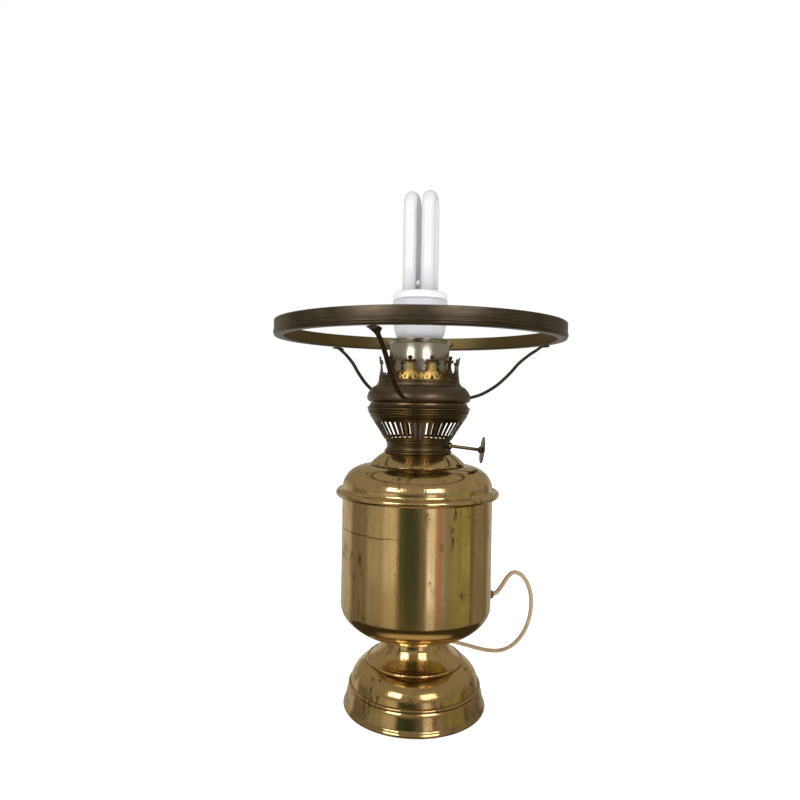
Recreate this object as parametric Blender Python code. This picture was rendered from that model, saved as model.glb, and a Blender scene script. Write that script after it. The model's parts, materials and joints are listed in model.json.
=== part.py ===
"""Brass paraffin table lamp, converted to electricity, with its shade holder, bulb and flex.

Metres, +Z up.  The origin lies on the table, under the lamp's own upright axis.
The front of the lamp faces -Y and the wick winder points to +X.
"""

import math

import bmesh
import bpy
from mathutils import Matrix, Vector

mm = 0.001

# ---- Clearances -----------------------------------------------------------------------
fit_gap = 0.3 * mm           # between pieces that touch
slide_gap = 1.0 * mm         # round a piece that lifts past another
bore_gap = 0.6 * mm          # round a bolt, a tube or a flex that passes through a hole

# ---- Foot -----------------------------------------------------------------------------
foot_radius = 57.8 * mm
foot_height = 57.5 * mm
foot_neck_radius = 25.5 * mm
foot_wall = 1.0 * mm
foot_lip_radius = 1.5 * mm
foot_bead_radius = 1.3 * mm
felt_thickness = 1.0 * mm
weight_height = 11.0 * mm
rod_radius = 4.0 * mm
nut_width = 13.0 * mm        # across flats
nut_height = 5.0 * mm
washer_radius = 12.0 * mm
washer_thickness = 1.2 * mm

# ---- Font: the oil container ----------------------------------------------------------
font_radius = 61.2 * mm
font_height = 114.5 * mm     # bowl, from its flat base to its open edge
font_round_height = 24.5 * mm
font_round_power = 1.75
font_wall = 0.9 * mm
rim_roll_radius = 2.7 * mm   # rolled edge of the cover
cover_height = 23.2 * mm     # from the cover's seat on the bowl to its top opening
cover_step_radius = 38.8 * mm
cover_bore_radius = 27.0 * mm
collar_height = 9.3 * mm
collar_top_radius = 27.7 * mm
collar_wall = 1.4 * mm

# ---- Burner ---------------------------------------------------------------------------
neck_height = 10.6 * mm
neck_waist_radius = 25.8 * mm
neck_wall = 1.5 * mm
neck_bead_radius = 0.9 * mm
plate_thickness = 1.0 * mm
basket_height = 19.0 * mm
basket_base_radius = 27.9 * mm
basket_top_radius = 39.6 * mm
basket_wall = 0.6 * mm
basket_slots = 44
slot_share = 0.40            # share of one pitch that the slot takes
slot_start = 1.9 * mm        # above the basket's lower edge
slot_height = 11.6 * mm
rim_height = 10.6 * mm       # beaded rim that closes the basket
rim_radius = 42.0 * mm
rim_top_radius = 39.4 * mm
rim_bore_radius = 37.4 * mm

# ---- Wick winder ----------------------------------------------------------------------
winder_slope = math.radians(6.6)
winder_height = 5.7 * mm     # where its axis leaves the neck, above the neck's lower edge
spindle_radius = 1.4 * mm
spindle_start = 10.0 * mm    # along its own axis, measured from the lamp's axis
spindle_end = 55.6 * mm
bush_radius = 2.9 * mm
bush_proud = 2.2 * mm
winder_disc_radius = 11.0 * mm
winder_disc_thickness = 1.2 * mm
winder_disc_at = 53.2 * mm
winder_hub_radius = 2.6 * mm
winder_teeth = 28
sprocket_radius = 4.2 * mm
sprocket_teeth = 8
sprocket_at = 13.0 * mm

# ---- Electric holder ------------------------------------------------------------------
nipple_radius = 5.0 * mm
nipple_bore_radius = 3.4 * mm
nipple_below_plate = 8.0 * mm
nipple_nut_width = 16.0 * mm
nipple_nut_height = 3.0 * mm
contact_thickness = 1.0 * mm
seat_proud = 0.9 * mm          # seat beyond the sleeve it carries
seat_height = 9.6 * mm
seat_wall = 1.0 * mm
sleeve_radius = 24.4 * mm
sleeve_height = 25.3 * mm
sleeve_wall = 0.8 * mm
sleeve_lip = 0.7 * mm
holder_clearance = 3.6 * mm    # between the sleeve and the holder inside it
holder_floor = 5.0 * mm
screw_shell_radius = 14.6 * mm
screw_shell_height = 19.0 * mm
screw_shell_wall = 0.5 * mm

# ---- Shade holder ---------------------------------------------------------------------
skirt_height = 15.8 * mm
skirt_radius = 42.3 * mm
skirt_wall = 1.2 * mm
crown_height = 20.4 * mm
crown_radius = 33.0 * mm
crown_wall = 0.7 * mm
crown_prongs = 12
ledge_thickness = 1.2 * mm
ledge_step = 0.3 * mm
ledge_edge_inset = 1.2 * mm  # keeps the ledge inside the crown's waist
ring_radius = 117.5 * mm     # standard 235 mm shade fitter
ring_height = 12.3 * mm
ring_wall = 1.0 * mm
ring_flange = 7.2 * mm
ring_bead = 0.7 * mm
ring_above_skirt = 50.8 * mm
arm_angles = {"front": -107.3, "right": 12.7, "rear": 132.7}
arm_width = 4.2 * mm
arm_thickness = 2.6 * mm
arm_pad_width = 9.5 * mm
arm_pad_thickness = 1.8 * mm
splice_length = 76.0 * mm
splice_thickness = 0.9 * mm

# ---- Bulb -----------------------------------------------------------------------------
cap_radius = 13.2 * mm       # E27
cap_height = 17.2 * mm
cap_insulator_height = 3.0 * mm
cap_contact_radius = 4.6 * mm
bulb_base_radius = 17.0 * mm
bulb_radius = 22.2 * mm
bulb_body_height = 36.0 * mm
bulb_cap_height = 6.6 * mm   # upper half of the housing, above the parting line
glass_radius = 5.5 * mm
glass_height = 83.0 * mm
limb_half_diagonal = 10.63 * mm
limb_angle = math.radians(209.6)
bridge_height = 6.8 * mm
bridge_radius = 2.4 * mm

# ---- Flex -----------------------------------------------------------------------------
cord_diameter = 3.8 * mm
cord_exit_angle = math.radians(12.0)
cord_exit_height = 85.5 * mm
grommet_radius = 4.6 * mm
grommet_proud = 5.4 * mm
grommet_inside = 4.0 * mm
coil_centre = (0.0, 0.158)
coil_columns = 3
coil_layers = 4
coil_middle_radius = 21.5 * mm
coil_lift = 1.3 * mm         # the tie passes under the coil
tie_gap = 0.3 * mm
tie_width = 7.0 * mm
tie_thickness = 0.8 * mm
tie_angle = math.radians(200.0)
plug_width = 35.0 * mm
plug_thickness = 13.6 * mm
plug_body_length = 24.0 * mm
plug_relief_length = 20.0 * mm
plug_relief_radius = 4.0 * mm
pin_radius = 2.0 * mm
pin_length = 19.0 * mm
pin_spacing = 18.6 * mm

# ---- Finishes: colour, roughness, metallic --------------------------------------------
polished_brass = ((0.72, 0.50, 0.19), 0.22, 1.0)
aged_brass = ((0.36, 0.24, 0.10), 0.38, 1.0)
dark_bronze = ((0.10, 0.07, 0.045), 0.42, 1.0)
gilt_brass = ((0.80, 0.56, 0.22), 0.30, 1.0)
nickel = ((0.52, 0.49, 0.41), 0.30, 1.0)
steel = ((0.45, 0.45, 0.46), 0.35, 1.0)
cast_iron = ((0.09, 0.09, 0.09), 0.70, 1.0)
green_felt = ((0.03, 0.08, 0.04), 0.95, 0.0)
white_plastic = ((0.78, 0.78, 0.80), 0.45, 0.0)
clear_glass = ((0.86, 0.88, 0.90), 0.08, 0.0)
black_glass = ((0.02, 0.02, 0.02), 0.20, 0.0)
ceramic = ((0.80, 0.78, 0.72), 0.50, 0.0)
beige_plastic = ((0.50, 0.38, 0.24), 0.50, 0.0)
brown_plastic = ((0.16, 0.09, 0.05), 0.50, 0.0)

# ---- Levels, stacked up from the table ------------------------------------------------
bowl_base = foot_height + fit_gap
bowl_top = bowl_base + font_height
cover_seat = bowl_top + fit_gap
cover_top = cover_seat + cover_height
collar_base = cover_top + fit_gap
collar_top = collar_base + collar_height
neck_base = collar_top + fit_gap
neck_top = neck_base + neck_height
basket_base = neck_top + fit_gap
basket_top = basket_base + basket_height
rim_base = basket_top + fit_gap
rim_top = rim_base + rim_height
skirt_base = rim_top + fit_gap
skirt_top = skirt_base + skirt_height
crown_base = skirt_top + fit_gap
ledge_top = skirt_top + ledge_step
seat_base = skirt_top
seat_radius = sleeve_radius + seat_proud
holder_radius = sleeve_radius - sleeve_wall - holder_clearance
seat_top = seat_base + seat_height
sleeve_base = seat_top + fit_gap
sleeve_top = sleeve_base + sleeve_height
holder_base_level = seat_base + seat_wall + fit_gap
shell_base = holder_base_level + holder_floor + fit_gap
ring_base = skirt_base + ring_above_skirt
plate_base = neck_base + 1.2 * mm
ledge_bore_radius = seat_radius + slide_gap
ledge_edge = crown_radius - crown_wall - ledge_edge_inset
contact_base = shell_base + screw_shell_wall + fit_gap
bulb_contact_base = contact_base + contact_thickness + fit_gap
insulator_base = bulb_contact_base + contact_thickness + fit_gap
bulb_cap_base = insulator_base + cap_insulator_height + fit_gap
bulb_base = bulb_cap_base + cap_height + fit_gap
bulb_split = bulb_base + bulb_body_height
bulb_top = bulb_split + fit_gap + bulb_cap_height
glass_base = bulb_top + fit_gap
cord_radius = cord_diameter / 2
winder_axis_height = neck_base + winder_height + neck_waist_radius * math.tan(winder_slope)
plate_radius = neck_waist_radius - neck_wall - fit_gap


def new_object(name, data, finish):
    """An object at the origin with a Principled material of its own."""
    item = bpy.data.objects.new(name, data)
    bpy.context.scene.collection.objects.link(item)
    colour, roughness, metallic = finish
    material = bpy.data.materials.new(name + "_finish")
    material.use_nodes = True
    shader = material.node_tree.nodes["Principled BSDF"]
    shader.inputs["Base Color"].default_value = (*colour, 1.0)
    shader.inputs["Roughness"].default_value = roughness
    shader.inputs["Metallic"].default_value = metallic
    data.materials.append(material)
    return item


def closed_solid(name, shape, finish, smooth=True):
    """Turn a bmesh into an object whose faces point outwards."""
    bmesh.ops.remove_doubles(shape, verts=shape.verts, dist=0.001 * mm)
    bmesh.ops.recalc_face_normals(shape, faces=shape.faces)
    if shape.calc_volume(signed=True) < 0:
        bmesh.ops.reverse_faces(shape, faces=shape.faces)
    mesh = bpy.data.meshes.new(name)
    shape.to_mesh(mesh)
    shape.free()
    if smooth:
        mesh.shade_smooth()
        mesh.set_sharp_from_angle(angle=math.radians(35))
    return new_object(name, mesh, finish)


def turned(name, outline, finish, segments=48, place=None):
    """A solid turned about +Z from an outline of (radius, height) points.

    The outline closes on itself, or starts and ends on the axis.
    """
    shape = bmesh.new()
    corners = [shape.verts.new((radius, 0, height)) for radius, height in outline]
    pairs = list(zip(corners, corners[1:]))
    if outline[0][0] > 0 or outline[-1][0] > 0:
        pairs.append((corners[-1], corners[0]))
    edges = [shape.edges.new(pair) for pair in pairs]
    bmesh.ops.spin(shape, geom=corners + edges, cent=(0, 0, 0), axis=(0, 0, 1), dvec=(0, 0, 0),
                   angle=math.tau, steps=segments, use_merge=True)
    if place is not None:
        bmesh.ops.transform(shape, matrix=place, verts=shape.verts)
    return closed_solid(name, shape, finish)


def arc(radius, height, size, start, end, steps):
    """Points round (radius, height); 0 degrees points away from the axis, 90 points up."""
    turns = [math.radians(start + (end - start) * i / steps) for i in range(steps + 1)]
    return [(radius + size * math.cos(t), height + size * math.sin(t)) for t in turns]


def blend(first, last, shares):
    """Points between two corners, each a share of the way in radius and in height."""
    return [(first[0] + (last[0] - first[0]) * u, first[1] + (last[1] - first[1]) * v)
            for u, v in shares]


def inwards(outline, wall):
    """An outline that runs down an outer side, moved in by one wall thickness."""
    inner = []
    for i, (radius, height) in enumerate(outline):
        before = outline[max(i - 1, 0)]
        after = outline[min(i + 1, len(outline) - 1)]
        along = Vector((after[0] - before[0], after[1] - before[1])).normalized()
        inner.append((radius + along.y * wall, height - along.x * wall))
    return inner


def rounded(first, last, power, steps):
    """A superellipse quarter from first, where it runs upright, to last, where it runs level."""
    turns = [math.pi / 2 * i / steps for i in range(steps + 1)]
    return [(last[0] + (first[0] - last[0]) * max(math.cos(t), 0) ** (2 / power),
             first[1] + (last[1] - first[1]) * math.sin(t) ** (2 / power)) for t in turns]


def prism(name, outer, bore, base, top, finish, steps=12):
    """A plate or nut whose edge is outer(angle) and whose round bore has radius bore."""
    shape = bmesh.new()
    rings = []
    for reach, height in ((outer, base), (outer, top), (bore, top), (bore, base)):
        ring = []
        for i in range(steps):
            angle = math.tau * i / steps
            size = reach(angle) if callable(reach) else reach
            ring.append(shape.verts.new((size * math.cos(angle), size * math.sin(angle), height)))
        rings.append(ring)
    for ring, following in zip(rings, rings[1:] + rings[:1]):
        for i in range(steps):
            j = (i + 1) % steps
            shape.faces.new((ring[i], ring[j], following[j], following[i]))
    return closed_solid(name, shape, finish, smooth=False)


def hexagon(width):
    """Distance to the edge of a hexagon of that width across flats."""
    side = math.tau / 6
    return lambda angle: width / 2 / math.cos((angle + side / 2) % side - side / 2)


def toothed(radius, depth, teeth):
    """Distance to the edge of a wheel with that many plain teeth, two steps to a tooth."""
    return lambda angle: radius - depth * (round(angle / math.tau * 2 * teeth) % 2)


def swept(name, centres, section, finish):
    """A bar along centres; section(share) gives its half width and half thickness there."""
    shape = bmesh.new()
    rings = []
    for i, centre in enumerate(centres):
        before = centres[max(i - 1, 0)]
        after = centres[min(i + 1, len(centres) - 1)]
        along = (after - before).normalized()
        side = along.cross(Vector((0, 0, 1))).normalized()
        up = side.cross(along)
        half_width, half_thickness = section(i / (len(centres) - 1))
        ring = []
        for k in range(8):
            angle = math.tau * (k + 0.5) / 8
            place = centre + side * half_width * math.cos(angle) + up * half_thickness * math.sin(angle)
            ring.append(shape.verts.new(place))
        rings.append(ring)
    for ring, following in zip(rings, rings[1:]):
        for k in range(8):
            j = (k + 1) % 8
            shape.faces.new((ring[k], ring[j], following[j], following[k]))
    shape.faces.new(rings[0])
    shape.faces.new(rings[-1])
    return closed_solid(name, shape, finish)


def tube(name, points, radius, finish, resolution=2):
    """A round bar or flex along points, as a curve with closed ends."""
    curve = bpy.data.curves.new(name, "CURVE")
    curve.dimensions = "3D"
    curve.bevel_depth = radius
    curve.bevel_resolution = resolution
    curve.use_fill_caps = True
    spline = curve.splines.new("POLY")
    spline.points.add(len(points) - 1)
    for knot, point in zip(spline.points, points):
        knot.co = (*point, 1.0)
    spline.use_smooth = True
    return new_object(name, curve, finish)


def smooth_route(route, spacing):
    """Points about spacing apart on one smooth curve through the route's own points."""
    knots = [Vector(point) for point in route]
    knots = [2 * knots[0] - knots[1]] + knots + [2 * knots[-1] - knots[-2]]
    fine = []
    for a, b, c, d in zip(knots, knots[1:], knots[2:], knots[3:]):
        for step in range(20):
            t = step / 20
            fine.append(0.5 * (2 * b + (c - a) * t + (2 * a - 5 * b + 4 * c - d) * t ** 2
                               + (3 * b - a - 3 * c + d) * t ** 3))
    fine.append(knots[-2])
    length = sum((q - p).length for p, q in zip(fine, fine[1:]))
    count = max(2, round(length / spacing))
    points = [fine[0]]
    gone = 0.0
    for p, q in zip(fine, fine[1:]):
        gone += (q - p).length
        if gone >= length * len(points) / count:
            points.append(q)
    points[-1] = fine[-1]
    return points


def cylinder_along(name, start, direction, radius, length, finish, segments=24):
    """A round bar from start along direction, made by turning."""
    turn = Vector((0, 0, 1)).rotation_difference(Vector(direction)).to_matrix().to_4x4()
    outline = [(0, 0), (radius, 0), (radius, length), (0, length)]
    return turned(name, outline, finish, segments, Matrix.Translation(start) @ turn)


def cut(item, cutter):
    """Leave a cutter's shape out of an item, with a live Boolean."""
    cutter.hide_render = True
    cutter.display_type = "WIRE"
    opening = item.modifiers.new("opening", "BOOLEAN")
    opening.operation = "DIFFERENCE"
    opening.solver = "EXACT"
    opening.object = cutter


# ---- Foot and its weight --------------------------------------------------------------

def build_foot():
    """Spun foot, felt, iron weight, and the rod with its nuts that holds foot and font."""
    low = (foot_radius, 0)
    high = (foot_neck_radius, foot_height)
    waist = blend(low, high, [(1.0, 0.936), (0.94, 0.85), (0.855, 0.776), (0.74, 0.70), (0.655, 0.67)])
    dome = blend(low, high, [(0.55, 0.612), (0.396, 0.529), (0.275, 0.435), (0.192, 0.353)])
    band = blend(low, high, [(0.118, 0.271), (0.074, 0.174), (0.045, 0.096)])
    beads = [blend(low, high, [share])[0] for share in ((0.607, 0.649), (0.161, 0.315))]
    rolls = [arc(radius - 0.3 * foot_bead_radius, height, foot_bead_radius, 75, -75, 3)
             for radius, height in beads]
    lip_height = foot_lip_radius + fit_gap
    lip = arc(foot_radius - foot_lip_radius, lip_height, foot_lip_radius, 60, -180, 5)
    hole = rod_radius + bore_gap
    top = [(hole, foot_height), (foot_neck_radius - foot_wall, foot_height)]
    outer = top + waist + rolls[0] + dome + rolls[1] + band + lip
    inside = inwards(waist + dome + band, foot_wall)
    under = [(foot_neck_radius - 2 * foot_wall, foot_height - foot_wall), (hole, foot_height - foot_wall)]
    turned("foot", outer + inside[::-1] + under, polished_brass, 32)

    felt_radius = foot_radius - 2 * foot_lip_radius - fit_gap
    felt = [(0, 0), (felt_radius, 0), (felt_radius, felt_thickness), (0, felt_thickness)]
    turned("foot_felt", felt, green_felt, 24)

    weight_base = felt_thickness + fit_gap
    weight_radius = blend(low, high, [(0.11, 0)])[0][0] - foot_wall - fit_gap
    pocket = nut_width / 2 / math.cos(math.pi / 6) + bore_gap
    pocket_top = weight_base + fit_gap + nut_height + fit_gap
    weight_top = weight_base + weight_height
    weight = [(weight_radius, weight_base), (weight_radius, weight_top - 2 * mm),
              (weight_radius - 2 * mm, weight_top), (hole, weight_top),
              (hole, pocket_top), (pocket, pocket_top), (pocket, weight_base)]
    turned("foot_weight", weight, cast_iron, 20)

    rod_base = weight_base + fit_gap
    floor_top = bowl_base + font_wall
    washer_base = floor_top + fit_gap
    nut_base = washer_base + washer_thickness + fit_gap
    rod_top = nut_base + nut_height + rod_radius
    turned("tie_rod", [(0, rod_base), (rod_radius, rod_base), (rod_radius, rod_top), (0, rod_top)],
           steel, 16)
    bore = rod_radius + fit_gap
    prism("rod_washer", washer_radius, bore, washer_base, washer_base + washer_thickness, steel)
    for name, base in (("rod_nut_lower", rod_base), ("rod_nut_upper", nut_base)):
        prism(name, hexagon(nut_width), bore, base, base + nut_height, steel)


# ---- Font -----------------------------------------------------------------------------

def exit_matrix(distance):
    """Turns +Z to the direction in which the flex leaves the font, at that distance from the axis."""
    level = Matrix.Translation((0, 0, cord_exit_height))
    return level @ Matrix.Rotation(cord_exit_angle, 4, "Z") @ Matrix.Rotation(
        math.pi / 2, 4, "Y") @ Matrix.Translation((0, 0, distance))


def build_font():
    """Drum with a rounded base, domed cover with a rolled edge, and the collar for the burner."""
    hole = rod_radius + bore_gap
    sides = rounded((font_radius, bowl_base + font_round_height), (foot_neck_radius, bowl_base),
                    font_round_power, 8)
    skin = [(font_radius, bowl_top)] + sides
    inner = [(font_radius - font_wall, bowl_top)]
    inner += rounded((font_radius - font_wall, bowl_base + font_round_height),
                     (foot_neck_radius, bowl_base + font_wall), font_round_power, 5)
    floor = [(hole, bowl_base), (hole, bowl_base + font_wall)]
    bowl = turned("font_bowl", skin + floor + inner[::-1], polished_brass, 36)
    opening = grommet_radius - 0.7 * mm + fit_gap
    drill = turned("flex_drill", [(0, 0), (opening, 0), (opening, 9 * mm), (0, 9 * mm)], steel, 16,
                   exit_matrix(font_radius - 5 * mm))
    cut(bowl, drill)

    shoulder = font_radius - 0.2 * mm
    dome_foot = cover_seat + rim_roll_radius + 3.2 * mm
    dome = [(cover_step_radius + (shoulder - cover_step_radius) * math.sin(t),
             dome_foot + (cover_top - dome_foot) * math.cos(t))
            for t in (math.radians(15 * i) for i in range(7))]
    roll_centre = (font_radius + rim_roll_radius, cover_seat + 0.8 * mm)
    roll = arc(*roll_centre, rim_roll_radius, 115, -90, 6)
    seat_bore = font_radius + fit_gap
    seat_edge = font_radius - font_wall - 0.4 * mm
    under = [(seat_bore, roll[-1][1]), (seat_bore, cover_seat), (seat_edge, cover_seat)]
    ceiling = inwards(dome, font_wall)[::-2]
    top = [(cover_bore_radius, cover_top - font_wall), (cover_bore_radius, cover_top)]
    turned("font_cover", dome + roll + under + ceiling + top, polished_brass, 36)

    low = (cover_step_radius, collar_base)
    high = (collar_top_radius, collar_top)
    cone = blend(low, high, [(0, 0.04), (0.17, 0.27), (0.5, 0.62), (0.86, 0.92), (1, 1)])
    bore = collar_top_radius - collar_wall
    turned("font_collar", [(cover_step_radius - 0.5 * mm, collar_base)] + cone
           + [(bore, collar_top), (bore, collar_base)], polished_brass, 32)

    flange = grommet_radius
    plug = flange - 0.7 * mm
    bore = cord_radius + fit_gap
    grommet = [(plug, 0), (plug, grommet_inside + font_wall), (flange, grommet_inside + font_wall),
               (flange, grommet_inside + font_wall + 0.35 * grommet_proud),
               (flange - 1.5 * mm, grommet_inside + font_wall + grommet_proud),
               (bore, grommet_inside + font_wall + grommet_proud), (bore, 0)]
    start = font_radius + fit_gap - font_wall - grommet_inside
    turned("cord_grommet", grommet, brown_plastic, 14, exit_matrix(start))


# ---- Burner ---------------------------------------------------------------------------

def pierced_shell(name, columns, rows, open_cells, wall, finish):
    """A closed wall from a sheet of cells: columns are angles, rows (radius, height) pairs."""
    corners = [(radius * math.cos(angle), radius * math.sin(angle), height)
               for angle in columns for radius, height in rows]
    faces = []
    for i in range(len(columns)):
        j = (i + 1) % len(columns)
        for k in range(len(rows) - 1):
            if not open_cells(i, k):
                across, back = i * len(rows) + k, j * len(rows) + k
                faces.append((across, back, back + 1, across + 1))
    return walled(name, corners, faces, wall, finish)


def walled(name, corners, faces, wall, finish):
    """A closed solid from a sheet whose faces point outwards, thickened inwards."""
    mesh = bpy.data.meshes.new(name)
    mesh.from_pydata(corners, [], faces)
    mesh.shade_smooth()
    item = new_object(name, mesh, finish)
    thickness = item.modifiers.new("wall", "SOLIDIFY")
    thickness.thickness = wall
    thickness.offset = -1
    thickness.use_even_offset = True
    return item


def along_winder(distance):
    """Turns +Z to the winder's sloping axis, at that distance from the lamp's axis."""
    return Matrix.Translation((0, 0, winder_axis_height)) @ Matrix.Rotation(
        math.pi / 2 + winder_slope, 4, "Y") @ Matrix.Translation((0, 0, distance))


def build_burner():
    """Burner neck, floor plate, pierced basket, beaded rim and the winder's bush."""
    bore = neck_waist_radius - neck_wall
    spigot = collar_top_radius - collar_wall - fit_gap
    spigot_base = neck_base - 6 * mm
    low_bead = arc(collar_top_radius - neck_bead_radius, neck_base + neck_bead_radius,
                   neck_bead_radius, -90, 80, 3)
    waist = [(neck_waist_radius + 0.2 * mm, neck_base + 2.6 * mm), (neck_waist_radius, neck_base + 4 * mm),
             (neck_waist_radius + 0.3 * mm, neck_top - 2.4 * mm)]
    top_bead = arc(neck_waist_radius, neck_top - neck_bead_radius, neck_bead_radius, -60, 90, 3)
    inside = [(bore, neck_top), (bore, spigot_base), (spigot, spigot_base), (spigot, neck_base)]
    neck = turned("burner_neck", low_bead + waist + top_bead + inside, aged_brass, 32)
    opening = bush_radius + fit_gap
    drill = turned("bush_drill", [(0, 0), (opening, 0), (opening, 12 * mm), (0, 12 * mm)], steel, 16,
                   along_winder(bore - 4 * mm))
    cut(neck, drill)

    prism("burner_plate", plate_radius, nipple_radius + fit_gap, plate_base,
          plate_base + plate_thickness, aged_brass, 24)

    pitch = math.tau / basket_slots
    columns = []
    for i in range(basket_slots):
        columns += [pitch * (i - slot_share / 2), pitch * (i + slot_share / 2)]
    low = slot_start / basket_height
    high = (slot_start + slot_height) / basket_height
    rows = blend((basket_base_radius, basket_base), (basket_top_radius, basket_top),
                 [(0, 0), (low + 0.05, low), (high + 0.03, high), (1, 1)])
    pierced_shell("burner_basket", columns, rows, lambda i, k: i % 2 == 0 and k == 1,
                  basket_wall, aged_brass)

    low = (basket_top_radius + 0.2 * mm, rim_base)
    brow = (rim_radius, rim_base + 0.55 * rim_height)
    beads = arc(low[0] + 0.3 * mm, rim_base + 2.6 * mm, 0.6 * mm, -60, 60, 2)
    rim = [low, *beads, (rim_radius - 0.9 * mm, rim_base + 4.3 * mm), brow,
           (rim_radius - 0.9 * mm, rim_base + 7.4 * mm), (rim_top_radius + 0.2 * mm, rim_base + 8.9 * mm),
           (rim_top_radius, rim_top), (rim_bore_radius, rim_top),
           (rim_bore_radius, rim_base + 4 * mm), (basket_top_radius - 0.8 * mm, rim_base)]
    turned("basket_rim", rim, aged_brass, 36)

    bush_base = neck_waist_radius - neck_wall
    bush_top = neck_waist_radius + bush_proud
    bush_bore = spindle_radius + fit_gap
    bush = [(bush_radius, bush_base), (bush_radius, bush_top - 0.6 * mm), (bush_radius - 0.6 * mm, bush_top),
            (bush_bore, bush_top), (bush_bore, bush_base)]
    turned("spindle_bush", bush, aged_brass, 14, along_winder(0))


def build_winder():
    """Wick spindle, its knurled disc and its sprocket: they turn together."""
    spindle = [(0, spindle_start), (spindle_radius, spindle_start), (spindle_radius, spindle_end),
               (0, spindle_end)]
    turned("wick_spindle", spindle, aged_brass, 14, along_winder(0))
    bore = spindle_radius + fit_gap
    half = winder_disc_thickness / 2
    disc = prism("wick_disc", toothed(winder_disc_radius, 0.35 * mm, winder_teeth), bore, -half, half,
                 dark_bronze, 2 * winder_teeth)
    disc.data.transform(along_winder(winder_disc_at))
    hub_base = winder_disc_at - half - fit_gap - 2.4 * mm
    hub = [(winder_hub_radius, hub_base), (winder_hub_radius, hub_base + 2.4 * mm),
           (bore, hub_base + 2.4 * mm), (bore, hub_base)]
    turned("wick_hub", hub, aged_brass, 12, along_winder(0))
    sprocket = prism("wick_sprocket", toothed(sprocket_radius, 1.0 * mm, sprocket_teeth), bore,
                     -0.9 * mm, 0.9 * mm, aged_brass, 2 * sprocket_teeth)
    sprocket.data.transform(along_winder(sprocket_at))


# ---- Electric holder ------------------------------------------------------------------

def build_holder():
    """Hollow nipple and nuts, seat cup, nickel sleeve and the E27 holder inside it."""
    nipple_top = holder_base_level + 0.7 * holder_floor
    prism("holder_nipple", nipple_radius, nipple_bore_radius, plate_base - nipple_below_plate,
          nipple_top, steel, 20)
    bore = nipple_radius + fit_gap
    bases = {"nipple_nut_lower": plate_base - fit_gap - nipple_nut_height,
             "nipple_nut_upper": plate_base + plate_thickness + fit_gap,
             "seat_nut": seat_base - fit_gap - nipple_nut_height}
    for name, base in bases.items():
        prism(name, hexagon(nipple_nut_width), bore, base, base + nipple_nut_height, steel)

    edge = seat_radius - seat_wall
    seat = [(seat_radius - 0.6 * mm, seat_base), (seat_radius, seat_base + 0.6 * mm),
            (seat_radius, seat_top), (edge - 0.6 * mm, seat_top), (edge - 0.6 * mm, seat_base + seat_wall),
            (bore, seat_base + seat_wall), (bore, seat_base)]
    turned("sleeve_seat", seat, gilt_brass, 28)

    inner = sleeve_radius - sleeve_wall
    lip = arc(sleeve_radius, sleeve_top - sleeve_lip, sleeve_lip, -70, 110, 4)
    sleeve = [(sleeve_radius, sleeve_base)] + lip + [(inner, sleeve_top), (inner, sleeve_base)]
    turned("holder_sleeve", sleeve, nickel, 32)

    base = [(holder_radius, holder_base_level), (holder_radius, holder_base_level + holder_floor),
            (bore, holder_base_level + holder_floor), (bore, holder_base_level)]
    turned("holder_base", base, ceramic, 20)
    wall = screw_shell_radius - screw_shell_wall
    floor = shell_base + screw_shell_wall
    shell = [(screw_shell_radius, shell_base), (screw_shell_radius, shell_base + screw_shell_height),
             (wall, shell_base + screw_shell_height), (wall, floor), (nipple_radius, floor),
             (nipple_radius, shell_base)]
    turned("holder_shell", shell, gilt_brass, 20)
    contact = [(0, contact_base), (cap_contact_radius - 1.2 * mm, contact_base),
               (cap_contact_radius - 1.2 * mm, contact_base + contact_thickness),
               (0, contact_base + contact_thickness)]
    turned("holder_contact", contact, gilt_brass, 16)


# ---- Shade holder ---------------------------------------------------------------------

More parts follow.
